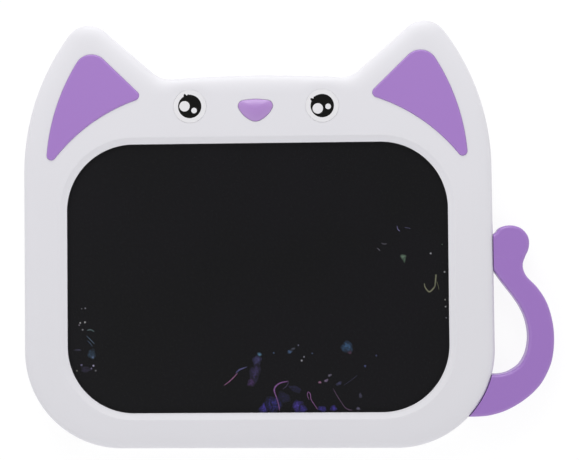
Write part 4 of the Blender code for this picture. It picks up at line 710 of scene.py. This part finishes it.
# The deepest of the three purples, with a fine grain that keeps its flat face even.
purple_tail = plastic("purple moulded ABS, fine grain", "#A078C2", "#9D75C0", 0.36)
tail_low, tail_high, under_round, upper_round = 1.6, 12.4, 1.1, 1.6
tail_wall = np.vstack([
    [(-under_round - 0.3, tail_low)],
    corner(-under_round, tail_low + under_round, under_round, -90, 0, 8),
    corner(-upper_round, tail_high - upper_round, upper_round, 0, 90, 10),
    [(-upper_round - 0.3, tail_high)]])
rings = np.array([tail_ring(offset) for offset in tail_wall[:, 0]])
tail_patches = [lifted(rings, tail_wall[:, 1][:, None, None])]
tail_patches += [filled([rings[0]], tail_low, up=False), filled([rings[-1]], tail_high)]
beyond_screw, into_tail, half_width = 3.6, 12.4, 4.5
for place, turn in tongues.items():
    tongue = wheeled(np.array([
        (-beyond_screw, -half_width), (into_tail, -half_width),
        (into_tail, half_width), (-beyond_screw, half_width)]), turn) + place
    hole = outline(arc(place, bore_radius, 0, 360, step=15))
    tail_patches += slab(rounded([(*spot, 0.6) for spot in tongue.tolist()], 20), 6.0, 10.0, 0.3, [hole], 2)
tail = piece("tail_curl", tail_patches, purple_tail)
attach(tail, "casing")
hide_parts("tail_handle")


# What is left on the film
# Faint strokes, dabs and specks of earlier drawing that the last erasing left behind. Each is a layer a
# hundredth of a millimetre above the film, black at its edge as the film is, coloured in its middle.
def trace(points, widths, code, level):
    """A stroke: across it runs v from 1 on its right to -1 on its left, and its place is the curve plus
    0.4 * v * its width along the normal. Its colour fades as (1 - v^2)^1.5 and towards its ends."""
    run, normals = smooth(np.array(points, float), 6)
    along = np.linspace(0, 1, len(run))
    half = np.interp(along, np.linspace(0, 1, len(widths)), widths) * 0.4
    v = np.linspace(1, -1, 9)[:, None]
    flat = run[None] + (v * half[None])[:, :, None] * normals[None]
    strength = np.clip(1 - v ** 2, 0, 1) ** 1.5 * np.clip(np.minimum(along, 1 - along) * 12, 0, 1)[None]
    return layer(flat, strength, code, level, 0.35, False)


def dab(place, radii, turn, code, level, patchy):
    """A smudge: rings at shares of a wavy ellipse, radii * (1 + 0.10 sin 3a + 0.07 sin 5a), whose colour
    fades as 0.85 * (1 - share^2)."""
    a = np.linspace(0, 2 * math.pi, 36, endpoint=False)
    wave = 1 + 0.10 * np.sin(3 * a + place[0]) + 0.07 * np.sin(5 * a + place[1])
    edge = wheeled(np.column_stack([radii[0] * np.cos(a) * wave, radii[1] * np.sin(a) * wave]), turn)
    shares = np.linspace(1, 0, 8)[:, None]
    flat = np.array(place) + shares[:, :, None] * edge[None]
    return layer(flat, np.broadcast_to(0.85 - 0.85 * shares ** 2, flat.shape[:2]), code, level, patchy, True)


def layer(flat, strength, code, level, patchy, loop):
    """A flat grid at a level, as a patch, and its tints: the film's black with the colour mixed in by
    strength. The fourth channel says how patchy the mark is."""
    share = strength.reshape(-1, 1)
    base, full = np.array(linear(film_black)[:3]), np.array(linear(code)[:3])
    tint = np.hstack([base + share * (full - base), np.full(share.shape, patchy)])
    return lifted(flat, level, loop), tint


# Liquid crystal that still reflects: thin, dull colours, broken up where the coat's tooth let the stylus
# skip. The tooth is drawn at 0.7 mm, some ten times as coarse as it is.
left_marks, tree = blank("liquid crystal left reflecting")
spot = put(tree, "ShaderNodeTexCoord").outputs["Object"]
tint = put(tree, "ShaderNodeAttribute", attribute_name="tint")
tooth = put(tree, "ShaderNodeTexNoise", {
    "Vector": spot, "Scale": 1000 / 0.7, "Detail": 3.0, "Roughness": 0.7})
broken = put(tree, "ShaderNodeMapRange", {"Value": tooth.outputs[0], "From Min": 0.42, "From Max": 0.60})
share = put(tree, "ShaderNodeMix", {
    0: tint.outputs["Alpha"], 2: 1.0, 3: broken.outputs[0]}, data_type="FLOAT")
tone = put(tree, "ShaderNodeMix", {
    0: share.outputs[0], 6: linear(film_black), 7: tint.outputs["Color"]}, data_type="RGBA")
body = put(tree, "ShaderNodeBsdfPrincipled", {"Base Color": tone.outputs[2], "Roughness": 0.29, "IOR": 1.58})
put(tree, "ShaderNodeOutputMaterial", {"Surface": body.outputs[0]})

# Each stroke's points, its widths along them and its colour.
strokes = [
    ([(-16.0, -49.9), (-13.6, -48.2), (-11.4, -46.2), (-9.4, -44.0)], (0.35, 0.7, 0.8, 0.5), "#96608A"),
    ([(-10.4, -44.2), (-8.6, -42.6), (-6.8, -41.9), (-4.9, -41.2)], (0.4, 1.2, 0.9, 0.3), "#5E5C8C"),
    ([(9.9, -61.9), (9.4, -58.6), (8.3, -55.0), (7.5, -52.4), (8.1, -50.4), (10.6, -48.7), (14.3, -48.0)],
     (0.7, 0.7, 0.8, 1.1, 1.2, 0.9, 0.8), "#8A5C98"),
    ([(14.2, -48.3), (13.2, -50.2), (11.4, -51.6)], (0.4, 0.4, 0.3), "#54486A"),
    ([(23.6, -56.8), (22.8, -54.4), (23.3, -53.0), (24.2, -54.2), (24.5, -56.4), (26.2, -59.2),
      (27.7, -61.4)], (0.4, 0.5, 0.6, 0.6, 0.6, 0.6, 0.5), "#8C5C92"),
    ([(34.6, -51.2), (36.4, -54.6), (38.3, -57.6), (40.2, -60.3), (42.0, -61.3), (43.6, -61.4)],
     (0.4, 0.45, 0.4, 0.5, 0.7, 0.4), "#6C5270"),
    ([(77.2, -3.2), (77.6, -5.1), (79.3, -7.1), (80.9, -6.2), (82.3, -4.4)],
     (0.6, 0.9, 1.2, 1.1, 0.9), "#82826A"),
    ([(82.1, -4.8), (82.4, -2.2), (82.7, 0.9)], (0.8, 1.1, 1.3), "#7C7E66"),
    ([(82.9, -2.4), (83.6, -4.4), (83.9, -6.3)], (0.5, 0.4, 0.3), "#66684E"),
    ([(65.0, 23.4), (65.3, 21.8), (66.3, 20.9)], (0.5, 0.6, 0.5), "#74709A"),
    ([(68.4, 22.6), (69.8, 22.4), (71.2, 22.0)], (0.3, 0.5, 0.3), "#565474"),
    ([(57.6, 15.6), (58.8, 15.0), (60.2, 15.2)], (0.5, 0.9, 0.5), "#56545E"),
    ([(55.6, 13.2), (56.4, 12.6), (57.0, 11.8)], (0.5, 0.7, 0.4), "#5E5C66"),
    ([(-79.6, -23.9), (-77.8, -23.6), (-76.1, -24.6)], (0.5, 1.0, 0.5), "#56686A"),
    ([(-79.8, -26.4), (-77.8, -28.4), (-76.1, -30.2)], (0.4, 0.6, 0.4), "#566A80"),
    ([(-79.4, -28.6), (-78.0, -30.0), (-77.0, -31.4)], (0.3, 0.5, 0.4), "#4A5C74"),
    ([(39.6, -50.0), (42.6, -48.0), (46.0, -45.4)], (0.3, 0.35, 0.3), "#3C3A52"),
]
# Each dab's place, its two radii, its turn in degrees, its colour and how patchy it is.
dabs = [
    ((0.7, -35.7), (1.1, 1.2), 0, "#5C86A4", 0.5), ((-0.4, -38.6), (2.2, 2.9), -10, "#4A4674", 0.9),
    ((-1.4, -44.2), (2.6, 4.6), -14, "#443A66", 1.0), ((-3.2, -48.6), (1.9, 2.0), 0, "#5C4076", 0.9),
    ((41.3, -32.4), (2.9, 2.9), 0, "#42648A", 0.9), ((42.6, -34.9), (1.0, 0.9), 0, "#6A4A62", 0.9),
    ((14.8, -34.4), (1.2, 0.9), 20, "#5E7CA8", 0.6), ((16.2, -33.2), (1.5, 0.6), 30, "#5A5E6E", 0.8),
    ((2.6, -60.4), (2.0, 3.1), -30, "#4A3EA0", 0.8), ((7.1, -58.6), (4.2, 4.2), 10, "#383480", 1.0),
    ((18.4, -59.6), (2.6, 3.2), -14, "#5242A4", 0.8), ((20.6, -60.8), (2.0, 2.2), 0, "#463A98", 0.8),
    ((17.2, -51.6), (3.2, 1.5), -24, "#35325E", 1.0), ((12.0, -55.4), (3.4, 2.4), -40, "#2C2A52", 1.0),
    ((29.6, -60.8), (2.2, 1.4), -12, "#483CA0", 0.8), ((34.8, -60.6), (1.7, 1.5), 0, "#4C3EA6", 0.8),
    ((47.3, -54.8), (0.8, 1.3), 10, "#585670", 0.7), ((46.2, -60.8), (1.1, 0.8), -20, "#6E6A84", 0.6),
    ((31.6, -47.8), (1.2, 0.7), 25, "#8A7898", 0.5), ((28.6, -48.6), (0.9, 0.6), 0, "#9C6E8E", 0.4),
    ((33.2, -45.4), (1.1, 0.6), 25, "#7A7488", 0.6), ((37.4, -49.2), (1.6, 0.9), 30, "#46466A", 0.9),
    ((67.7, 9.0), (1.5, 1.3), -30, "#6C8470", 0.4), ((68.2, 7.7), (0.6, 1.4), -8, "#5C7460", 0.4),
    ((-77.4, -34.9), (2.0, 2.6), 0, "#3C546C", 0.9), ((-76.9, -36.4), (0.8, 0.7), 0, "#6E82A4", 0.4),
    ((-84.0, -33.0), (1.9, 0.5), 0, "#514E6A", 0.8), ((-80.2, -42.0), (2.6, 1.5), 0, "#3A3450", 1.0),
]
# Each speck's place, radius and colour.
specks = [
    (20.3, -38.5, 0.55, "#9C9CA4"), (21.4, -36.8, 0.45, "#8C8C98"), (18.8, -31.4, 0.4, "#6E6E86"),
    (80.3, 10.5, 0.5, "#A4A4AA"), (86.6, 1.9, 0.5, "#9A9A9C"), (86.7, -10.9, 0.45, "#84847E"),
    (86.9, -14.1, 0.45, "#A0A0A0"), (87.1, -19.2, 0.4, "#74747C"), (-82.7, -20.4, 0.5, "#A2A2A2"),
    (-80.5, -20.1, 0.55, "#A8A8A8"), (-83.2, -21.4, 0.45, "#7C7480"), (-81.6, -23.6, 0.5, "#808084"),
    (-76.6, -40.3, 0.55, "#ACA8C4"), (-82.2, -40.0, 0.6, "#6C6886"), (-77.6, -41.6, 0.5, "#76708E"),
    (-75.6, -42.6, 0.5, "#6E6E72"), (-84.4, -42.6, 0.45, "#76766E"), (-80.3, -13.6, 0.4, "#8E8E98"),
    (-82.0, -13.8, 0.35, "#6C6C72"), (49.6, -41.2, 0.6, "#4C5480"), (54.8, -36.4, 0.5, "#44486A"),
    (25.2, -35.2, 0.4, "#4C5A78"), (7.4, -34.9, 0.45, "#465A78"), (85.6, 14.6, 0.3, "#5A6A5E"),
]
# The dabs lie lowest, the strokes over them and the specks on top, each a hair above the last.
dabs_low, strokes_low, specks_low = 11.012, 11.05, 11.095
marks = [trace(points, widths, code, strokes_low + 0.002 * at)
         for at, (points, widths, code) in enumerate(strokes)]
marks += [dab(place, radii, turn, code, dabs_low + 0.001 * at, patchy)
          for at, (place, radii, turn, code, patchy) in enumerate(dabs)]
marks += [dab((x, y), (radius, radius), 0, code, specks_low, 0.0) for x, y, radius, code in specks]
patches, tints = zip(*marks)
left = piece("film_marks", patches, left_marks, tints=np.vstack(tints))
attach(left, "casing")


# The rear cover
# The white ABS back of the case: a tray with bosses, ribs, a well for the coin cell, a slot for the lock
# and the stylus channel along its bottom edge. Its face has a coarser, duller grain than the front.
def band(low, high, radius=0.4, step=30):
    """A rectangle's outline, from its lower left corner to its upper right one, with rounded corners."""
    (x0, y0), (x1, y1) = low, high
    return rounded([(x0, y0, radius), (x1, y0, radius), (x1, y1, radius), (x0, y1, radius)], step)


def opening(shape, edge, low, high):
    """The wall of a hole through the tray's floor: from its top border down, and softly out at the back."""
    return carried(shape, np.vstack([
        [(0.3, high), (0, high), (0, low + edge)], corner(edge, low + edge, edge, 180, 270, 3),
        [(edge + 0.3, low)]]))


# The coarser grain takes the shine off the back, so that it looks flat beside the front.
rear_abs = plastic("white moulded ABS, dull grain", "#E1E0E4", "#DEDDE1", 0.5, 0.5, 0.008)
floor_top, rear_high, dish_floor, back_round = 2.0, 7.85, 0.6, 3.0
door_hole = band((4.7, 65.7), (39.3, 88.3), 0.8, 15)
dish = band((-28.5, 74.4), (-15.5, 82.6), 1.8, 10)
slot = band((-26.3, 76.6), (-17.7, 80.4), 0.5, 15)
tray_wall = np.vstack([
    [(-back_round - 0.3, 0)], corner(-back_round, back_round, back_round, -90, 0, 12),
    corner(-groove_edge, rear_high - groove_edge, groove_edge, 0, 90, 3),
    [(-wall, rear_high), (-wall, 2.9)], corner(-wall - 0.8, 2.8, 0.8, 0, -90, 3),
    [(-wall - 1.2, floor_top)]])
dish_wall = np.vstack([
    [(-0.8, dish_floor)], corner(-0.5, 0.3, 0.3, 90, 45, 2),
    corner(0.2, 0.25, 0.25, 225, 270, 3), [(0.5, 0)]])
slot_wall = [(0.3, floor_top), (0, floor_top), (0, 0.7), (0.1, dish_floor), (0.3, dish_floor)]
# Each screw's head lies in a well of the back, against the boss that it goes on through.
well_radius, well_top, well_rim = 2.8, 2.5, 3.3
tray_patches = [
    notched(carried(case, tray_wall), rear_high, 3.4, under_tongue),
    opening(door_hole, 0.25, 0, floor_top),
    carried(slot, slot_wall),
    carried(dish, dish_wall),
    filled([ring(dish, -0.8), ring(slot, 0.3)], dish_floor, up=False),
    filled([ring(case, -back_round - 0.3), ring(door_hole, 0.55), ring(dish, 0.5)]
           + [arc(place, well_rim, 0, 352.5, step=8)[0] for place in screws], 0, up=False),
    filled([ring(case, -wall - 1.2), ring(door_hole, 0.3), ring(slot, 0.3)], floor_top),
]
well = np.vstack([
    [(0, well_top), (well_radius, well_top), (well_radius, 0.25)],
    corner(well_radius + 0.25, 0.25, 0.25, 180, 270, 3), [(well_rim, 0)]])
tray_patches += [spun(place, well, 48) for place in screws]
tray = piece("rear_tray", tray_patches, rear_abs)


def carved(solid, name, patches):
    """Takes a closed form out of a solid for good: its Boolean is worked out and becomes the mesh."""
    form = piece(name, patches, rear_abs)
    cut = solid.modifiers.new("carved", "BOOLEAN")
    cut.operation = "DIFFERENCE"
    cut.solver = "EXACT"
    cut.object = form
    result = bpy.data.meshes.new_from_object(solid.evaluated_get(bpy.context.evaluated_depsgraph_get()))
    solid.modifiers.clear()
    solid.data = result
    bpy.data.objects.remove(form)


def lengthwise(profile, steps=48):
    """A profile of (radius, x) rows turned about the stylus's axis, which lies along X at y -71.7 and
    height 4.3: the upright form with its three directions changed round."""
    points, faces = spun((-71.7, 4.3), profile, steps)
    return points[:, [2, 0, 1]], faces


# The stylus channel is cut out of the tray: a round bore, and a slit that opens most of it to the back.
carved(tray, "bore", [lengthwise([(0, -120), (3.4, -120), (3.4, 29.9), (0, 29.9)], 64)])
carved(tray, "slit", slab(band((-120, -74.0), (6.0, -69.4)), -3.0, 4.3, 0.02, steps=1))
tray.data.shade_smooth()
tray.data.set_sharp_from_angle(angle=sharp_angle)

# Everything inside starts a little way down in the floor.
foot = 1.8
inside = []
for place in screws:
    high = under_tongue if place in tongues else rear_high
    inside.append(spun(place, [
        (2.9, foot), (boss_radius, foot), (boss_radius, high), (bore_radius, high), (bore_radius, well_top),
        (2.9, well_top), (2.9, foot)], 32))
for x in np.linspace(-84, 84, 6):
    inside += slab(band((x - 0.6, -58), (x + 0.6, 58)), foot, 8.6, 0.15, steps=2)
for y in np.linspace(-56.8, 56.8, 4):
    inside += slab(band((-84, y - 0.6), (84, y + 0.6)), foot, 8.4, 0.15, steps=2)
# Four posts carry the circuit board.
for x in (-32.2, 37.4):
    for y in (71.8, 84.2):
        inside.append(spun((x, y), [
            (0, foot), (2.5, foot), (2.5, 5.4), (2.3, 5.6), (1.1, 5.6), (1.1, 2.6), (0, 2.6)], 24))
# The cell's well is a block with a round hole, and a small one that takes the door's screw.
cell_hole = outline(arc((22, 77), 10.3, 0, 360, step=8))
door_screw = (36.2, 77)
door_bore = outline(arc(door_screw, 1.1, 0, 360, step=20))
inside += slab(band((3.6, 64.4), (40.4, 89.6)), 1.9, 4.5, 0.2, [cell_hole, door_bore], 3)
# Three walls stand beside and at the end of the stylus channel, and two guide the lock's plate.
channel_high = 7.0
for start, low, high in ((-75, -76.5, -75.15), (-84, -68.25, -66.9)):
    inside += slab(band((start, low), (31.9, high)), foot, channel_high, 0.2, steps=2)
inside += slab(band((29.9, -76.5), (31.9, -66.9)), foot, channel_high, 0.2, steps=2)
for low, high in ((82.3, 83.3), (73.7, 74.7)):
    inside += slab(band((-30, low), (-14, high)), foot, 3.0, 0.15, steps=2)
works = piece("rear_bosses_and_ribs", inside, rear_abs)
for part in (tray, works):
    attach(part, "casing")
    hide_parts("rear_cover")


# The case screws
# Nickel plated steel, self-tapping, pan headed with a cross recess. Nine go up through the back's
# counterbores into the front's bosses, two of them through the tail's tongues.
def steel(name, code, roughness):
    """A plated steel. Its rub marks, some hundredths of a millimetre wide, are drawn at 0.25 mm: they
    break its highlights, and its colour drifts to a warmer grey."""
    made, tree = blank(name)
    spot = put(tree, "ShaderNodeTexCoord").outputs["Object"]
    tone = mottled(tree, spot, linear(code), linear("#9C9A94"), 1.6)
    rub = put(tree, "ShaderNodeTexNoise", {"Vector": spot, "Scale": 1000 / 0.25, "Detail": 4.0})
    dull = put(tree, "ShaderNodeMapRange", {
        "Value": rub.outputs[0], "To Min": roughness - 0.12, "To Max": roughness + 0.12})
    body = put(tree, "ShaderNodeBsdfPrincipled", {
        "Base Color": tone.outputs[2], "Roughness": dull.outputs[0], "Metallic": 1.0})
    put(tree, "ShaderNodeOutputMaterial", {"Surface": body.outputs[0]})
    return made


def cross(half, width):
    """The outline of a cross recess: four arms, half across and of a width, anticlockwise."""
    quarter = np.array([(half, -width), (half, width), (width, width)])
    ways = ((1, 0), (0, 1), (-1, 0), (0, -1))
    spots = np.vstack([quarter @ np.array([[c, s], [-s, c]]) for c, s in ways])
    radii = np.tile([width * 0.5, width * 0.5, width * 0.35], 4)
    return rounded(np.column_stack([spots, radii]), 30)


def screw(place, face, head, shank, end, across):
    """A screw with its head down, from height face up to end: a round head (radius, height) with a cross
    recess that narrows as it goes in, and a shank with rings for its thread, one every 0.9 mm. It is
    built head up and turned over about X at the end."""
    radius, depth = head
    rim = outline(arc((0, 0), radius, 0, 360, step=8))
    arms = cross(across, across * 0.21)
    length = end - face - depth
    core = shank * 0.78
    thread = [(core, -depth)]
    for at in np.arange(0.6, length - 1.4, 0.9) + depth:
        thread += [(core, -at), (shank, -at - 0.3), (core, -at - 0.6)]
    thread += [(shank * 0.7, -depth - length + 0.8), (0, -depth - length)]
    crown = 0.30 * depth
    head_wall = np.vstack([
        [(core - radius, -depth), (0, -depth), (0, -crown)],
        corner(-crown, -crown, crown, 0, 90, 4), [(-crown - 0.1, 0)]])
    patches = [
        spun((0, 0), thread[::-1], 24),
        carried(rim, head_wall),
        filled([ring(rim, -crown - 0.1), ring(arms, 0.08)], 0),
        carried(arms, [(0.08, 0), (0, -0.05), (-0.12 * across, -0.55 * depth)]),
        filled([ring(arms, -0.12 * across)], -0.55 * depth),
    ]
    return [(points * (1, -1, -1) + (*place, face), faces) for points, faces in patches]


screw_nickel = steel("nickel plated steel", "#B9B7B2", 0.30)
fixings = []
for place in screws:
    fixings += screw(place, 0.7, (2.5, 1.5), 1.3, 11.0, 1.45)
heads = piece("casing_screws", fixings, screw_nickel)
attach(heads, "casing")
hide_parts(*[f"case_screw_{at}" for at in range(1, 10)])


# The battery door
# A white ABS flap on two pins, flush in its recess, with four finger grooves and a small captive
# screw near its free edge. The coin cell and its contacts lie behind it.
door_low, door_high = 0.2, 1.7
door_shape = band((5.0, 66.0), (39.0, 88.0), 0.5, 15)
head_well = outline(arc(door_screw, 2.1, 0, 360, step=10))
shank_hole = outline(arc(door_screw, 1.1, 0, 360, step=10))
grips = [band((x - 0.3, 73), (x + 0.3, 81), 0.28) for x in (19.9, 21.3, 22.7, 24.1)]
door_edge = np.vstack([
    [(-0.5, door_low)], corner(-0.25, door_low + 0.25, 0.25, -90, 0, 3),
    corner(-0.25, door_high - 0.25, 0.25, 0, 90, 3), [(-0.5, door_high)]])
door_patches = [
    carried(door_shape, door_edge),
    filled([ring(door_shape, -0.5), ring(head_well, 0.25)] + [ring(one, 0.15) for one in grips],
           door_low, up=False),
    filled([ring(door_shape, -0.5), ring(shank_hole, 0)], door_high),
    carried(head_well, [
        (-1.0, door_high), (-1.0, 1.1), (0, 1.1), (0, door_low + 0.1), (0.1, door_low), (0.25, door_low)]),
]
# The two hinge pins lie along Y, on the door's axis.
hinge = (5.75, 0, 0.95)
for start in (65.0, 87.6):
    points, faces = spun((0, 0), [(0, start), (0.5, start), (0.5, start + 1.4), (0, start + 1.4)], 16)
    door_patches.append((points[:, [0, 2, 1]] * (-1, 1, 1) + hinge, faces))
grip_wall = [(-0.08, 0.6), (0, 0.5), (0, 0.28), (0.08, door_low), (0.15, door_low)]
for one in grips:
    door_patches += [carried(one, grip_wall), filled([ring(one, -0.08)], 0.6, up=False)]
flap = piece("battery_flap", door_patches, rear_abs)
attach(flap, "door")
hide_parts("battery_door")
captive = piece("captive_screw", screw(door_screw, door_low, (1.8, 0.6), 0.8, 4.2, 1.0), screw_nickel)
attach(captive, "door")
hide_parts("battery_door_screw")


# The lock slider
# A small knob of the tail's purple ABS in a slot of the back that locks the erase key: it moves the
# stem of the slide switch under the board between its two lugs.
plate_low, knob_low, knob_left, knob_right = 2.3, 0.2, -26.0, -21.0
knob_patches = slab(band((-30.0, 75.0), (-17.0, 82.0)), plate_low, 3.0, 0.15, steps=3)
# Three grooves part the knob's face into four ridges, and a block behind them closes the grooves.
comb = np.linspace(-1.4, 1.4, 3) + (knob_left + knob_right) / 2
edges = np.concatenate([[knob_left], np.column_stack([comb - 0.25, comb + 0.25]).ravel(), [knob_right]])
for left_edge, right_edge in zip(edges[::2], edges[1::2]):
    ridge = band((left_edge, 76.9), (right_edge, 80.1))
    knob_patches += slab(ridge, knob_low, plate_low + 0.1, 0.18, steps=3)
knob_patches += slab(band((-25.9, 77.0), (-21.1, 80.0)), 0.75, plate_low + 0.1, 0.1, steps=2)
for low, high in ((-25.5, -24.5), (-22.5, -21.5)):
    knob_patches += slab(band((low, 77.7), (high, 79.3)), 2.9, 3.7, 0.1, steps=2)
slider = piece("lock_knob_and_plate", knob_patches, purple_tail)
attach(slider, "lock_knob")
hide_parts("lock_slider")


# The stylus
# A plain white tube with a grey polypropylene nib, stowed in the channel with its purple grooved end
# cap at the channel's mouth, where a finger pulls it out.
def ringed(radius, start, count, pitch, depth):
    """Rows of (radius, x) for a run of round-bottomed grooves: depth * sin^2 across each, which takes
    0.6 of the pitch."""
    t = np.linspace(0, math.pi, 9)
    along = start + t / math.pi * pitch * 0.6
    low = radius - depth * np.sin(t) ** 2
    return np.vstack([np.column_stack([low, along + at * pitch]) for at in range(count)])


mouth, full, hollow = -81.5, 3.1, 2.0
cap_end, barrel_start, nib_start = mouth + 9.0, mouth + 9.3, mouth + 103.6
barrel_end = barrel_start + 94
dome = np.radians(np.linspace(0, 90, 9))
cap_profile = np.vstack([
    np.column_stack([full * np.sin(dome) ** 0.8, mouth + 1.2 * (1 - np.cos(dome))]),
    ringed(full, mouth + 3.0, 3, 1.6, 0.3),
    [(full, cap_end - 0.25), (2.85, cap_end), (1.7, cap_end), (1.7, cap_end + 4.0), (0, cap_end + 4.0)]])
stylus_cap = piece("stylus_cap", [lengthwise(cap_profile)], purple_tail)
stylus_tube = piece("stylus_tube", [lengthwise([
    (hollow, barrel_start), (2.9, barrel_start), (full, barrel_start + 0.2), (full, barrel_end - 0.2),
    (2.9, barrel_end), (hollow, barrel_end), (hollow, barrel_start)])], white_cap)
# The nib's grey is softer to the touch and to the eye: it has no sharp highlight.
nib_grey = even("grey moulded polypropylene", "#8A8C90", "#94969A", 4, 0.45, 1.49)
point = np.radians(np.linspace(0, 90, 7))
nib_profile = np.vstack([
    [(0, nib_start - 4.0), (1.7, nib_start - 4.0), (1.7, nib_start), (2.9, nib_start),
     (full, nib_start + 0.2), (full, nib_start + 1.4), (2.6, nib_start + 2.2), (1.2, nib_start + 6.6)],
    np.column_stack([0.9 * np.cos(point), nib_start + 7.1 + 0.9 * np.sin(point)])])
stylus_tip = piece("stylus_tip", [lengthwise(nib_profile)], nib_grey)
for part, node, look in (
        (stylus_cap, "stylus_end_cap", "purple_tail"), (stylus_tube, "stylus_barrel", "stylus_white"),
        (stylus_tip, "stylus_nib", "nib_grey")):
    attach(part, "stylus")
    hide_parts(node)


# What lies inside
# The pieces behind the film and in the strip above it: each keeps the frame's shape and gets the
# finish of the real one.
def dressed(material, *names):
    """Gives CAD nodes a finish."""
    for name in names:
        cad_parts[name].data.materials.clear()
        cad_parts[name].data.materials.append(material)


# Closed cells, 0.1 mm on the real tape and drawn at 0.5 mm, give it a dry, matt black.
foam, tree = blank("black acrylic foam tape")
spot = put(tree, "ShaderNodeTexCoord").outputs["Object"]
cells = put(tree, "ShaderNodeTexVoronoi", {"Vector": spot, "Scale": 1000 / 0.5})
tone = put(tree, "ShaderNodeMix", {
    0: cells.outputs["Distance"], 6: linear("#1C1C1E"), 7: linear("#313134")}, data_type="RGBA")
body = put(tree, "ShaderNodeBsdfPrincipled", {"Base Color": tone.outputs[2], "Roughness": 0.92})
put(tree, "ShaderNodeOutputMaterial", {"Surface": body.outputs[0]})
dressed(foam, "film_tape_frame")

# Recycled fibres leave the board speckled in two greys, without any shine.
greyboard = even("pressed grey board", "#8E8C86", "#A3A19A", 1.5, 0.9, 1.5, 6.0)
dressed(greyboard, "backing_board")

# Amber film over copper tracks 1.6 mm apart, which run along the ribbon as paler lines.
ribbon, tree = blank("polyimide ribbon over copper tracks")
spot = put(tree, "ShaderNodeTexCoord").outputs["Object"]
tracks = put(tree, "ShaderNodeTexWave", {
    "Vector": spot, "Scale": 1000 / 1.6 / 20, "Distortion": 0.0}, bands_direction="X")
tone = put(tree, "ShaderNodeMix", {
    0: tracks.outputs["Fac"], 6: linear("#A9641C"), 7: linear("#C98534")}, data_type="RGBA")
body = put(tree, "ShaderNodeBsdfPrincipled", {"Base Color": tone.outputs[2], "Roughness": 0.3, "IOR": 1.6})
put(tree, "ShaderNodeOutputMaterial", {"Surface": body.outputs[0]})
dressed(ribbon, "lcd_ribbon")

# Tracks under the mask show as lighter lines between dark green fields, drawn coarser than they are.
board_green, tree = blank("epoxy glass board with green solder mask")
spot = put(tree, "ShaderNodeTexCoord").outputs["Object"]
lanes = put(tree, "ShaderNodeTexBrick", {
    "Vector": spot, "Scale": 1000 / 3.2, "Mortar Size": 0.09, "Color1": linear("#0F5B34"),
    "Color2": linear("#116039"), "Mortar": linear("#2C8A56")})
body = put(tree, "ShaderNodeBsdfPrincipled", {
    "Base Color": lanes.outputs["Color"], "Roughness": 0.28, "IOR": 1.55})
put(tree, "ShaderNodeOutputMaterial", {"Surface": body.outputs[0]})
dressed(board_green, "circuit_board")

# The drop of resin over the controller is glossy, with a faint cloud in its black.
resin = even("black potting resin", "#101011", "#1A1A1C", 1.0, 0.18, 1.55)
dressed(resin, "controller_chip")

# Acetal is slippery and a little greasy to the eye: dark, even and half glossy.
black_acetal = plastic("black moulded acetal", "#232325", "#2A2A2C", 0.36, 0.25)
dressed(black_acetal, "erase_switch_body", "lock_switch_body", "lock_switch_stem")
brown_acetal = plastic("brown moulded acetal", "#5A3A22", "#633F26", 0.4, 0.25)
dressed(brown_acetal, "erase_switch_plunger")

# Three more platings: a warm one on the springs, a bright one on the cell, a cool one on the screws.
spring_steel = steel("nickel plated spring steel", "#C9C3B4", 0.24)
dressed(spring_steel, "positive_contact", "negative_contact")
cell_can = steel("drawn stainless steel can", "#CFCFCD", 0.22)
dressed(cell_can, "coin_cell")
zinc = steel("zinc plated steel", "#BFC2C6", 0.3)
dressed(zinc, "board_screw_1", "board_screw_2", "board_screw_3", "board_screw_4")
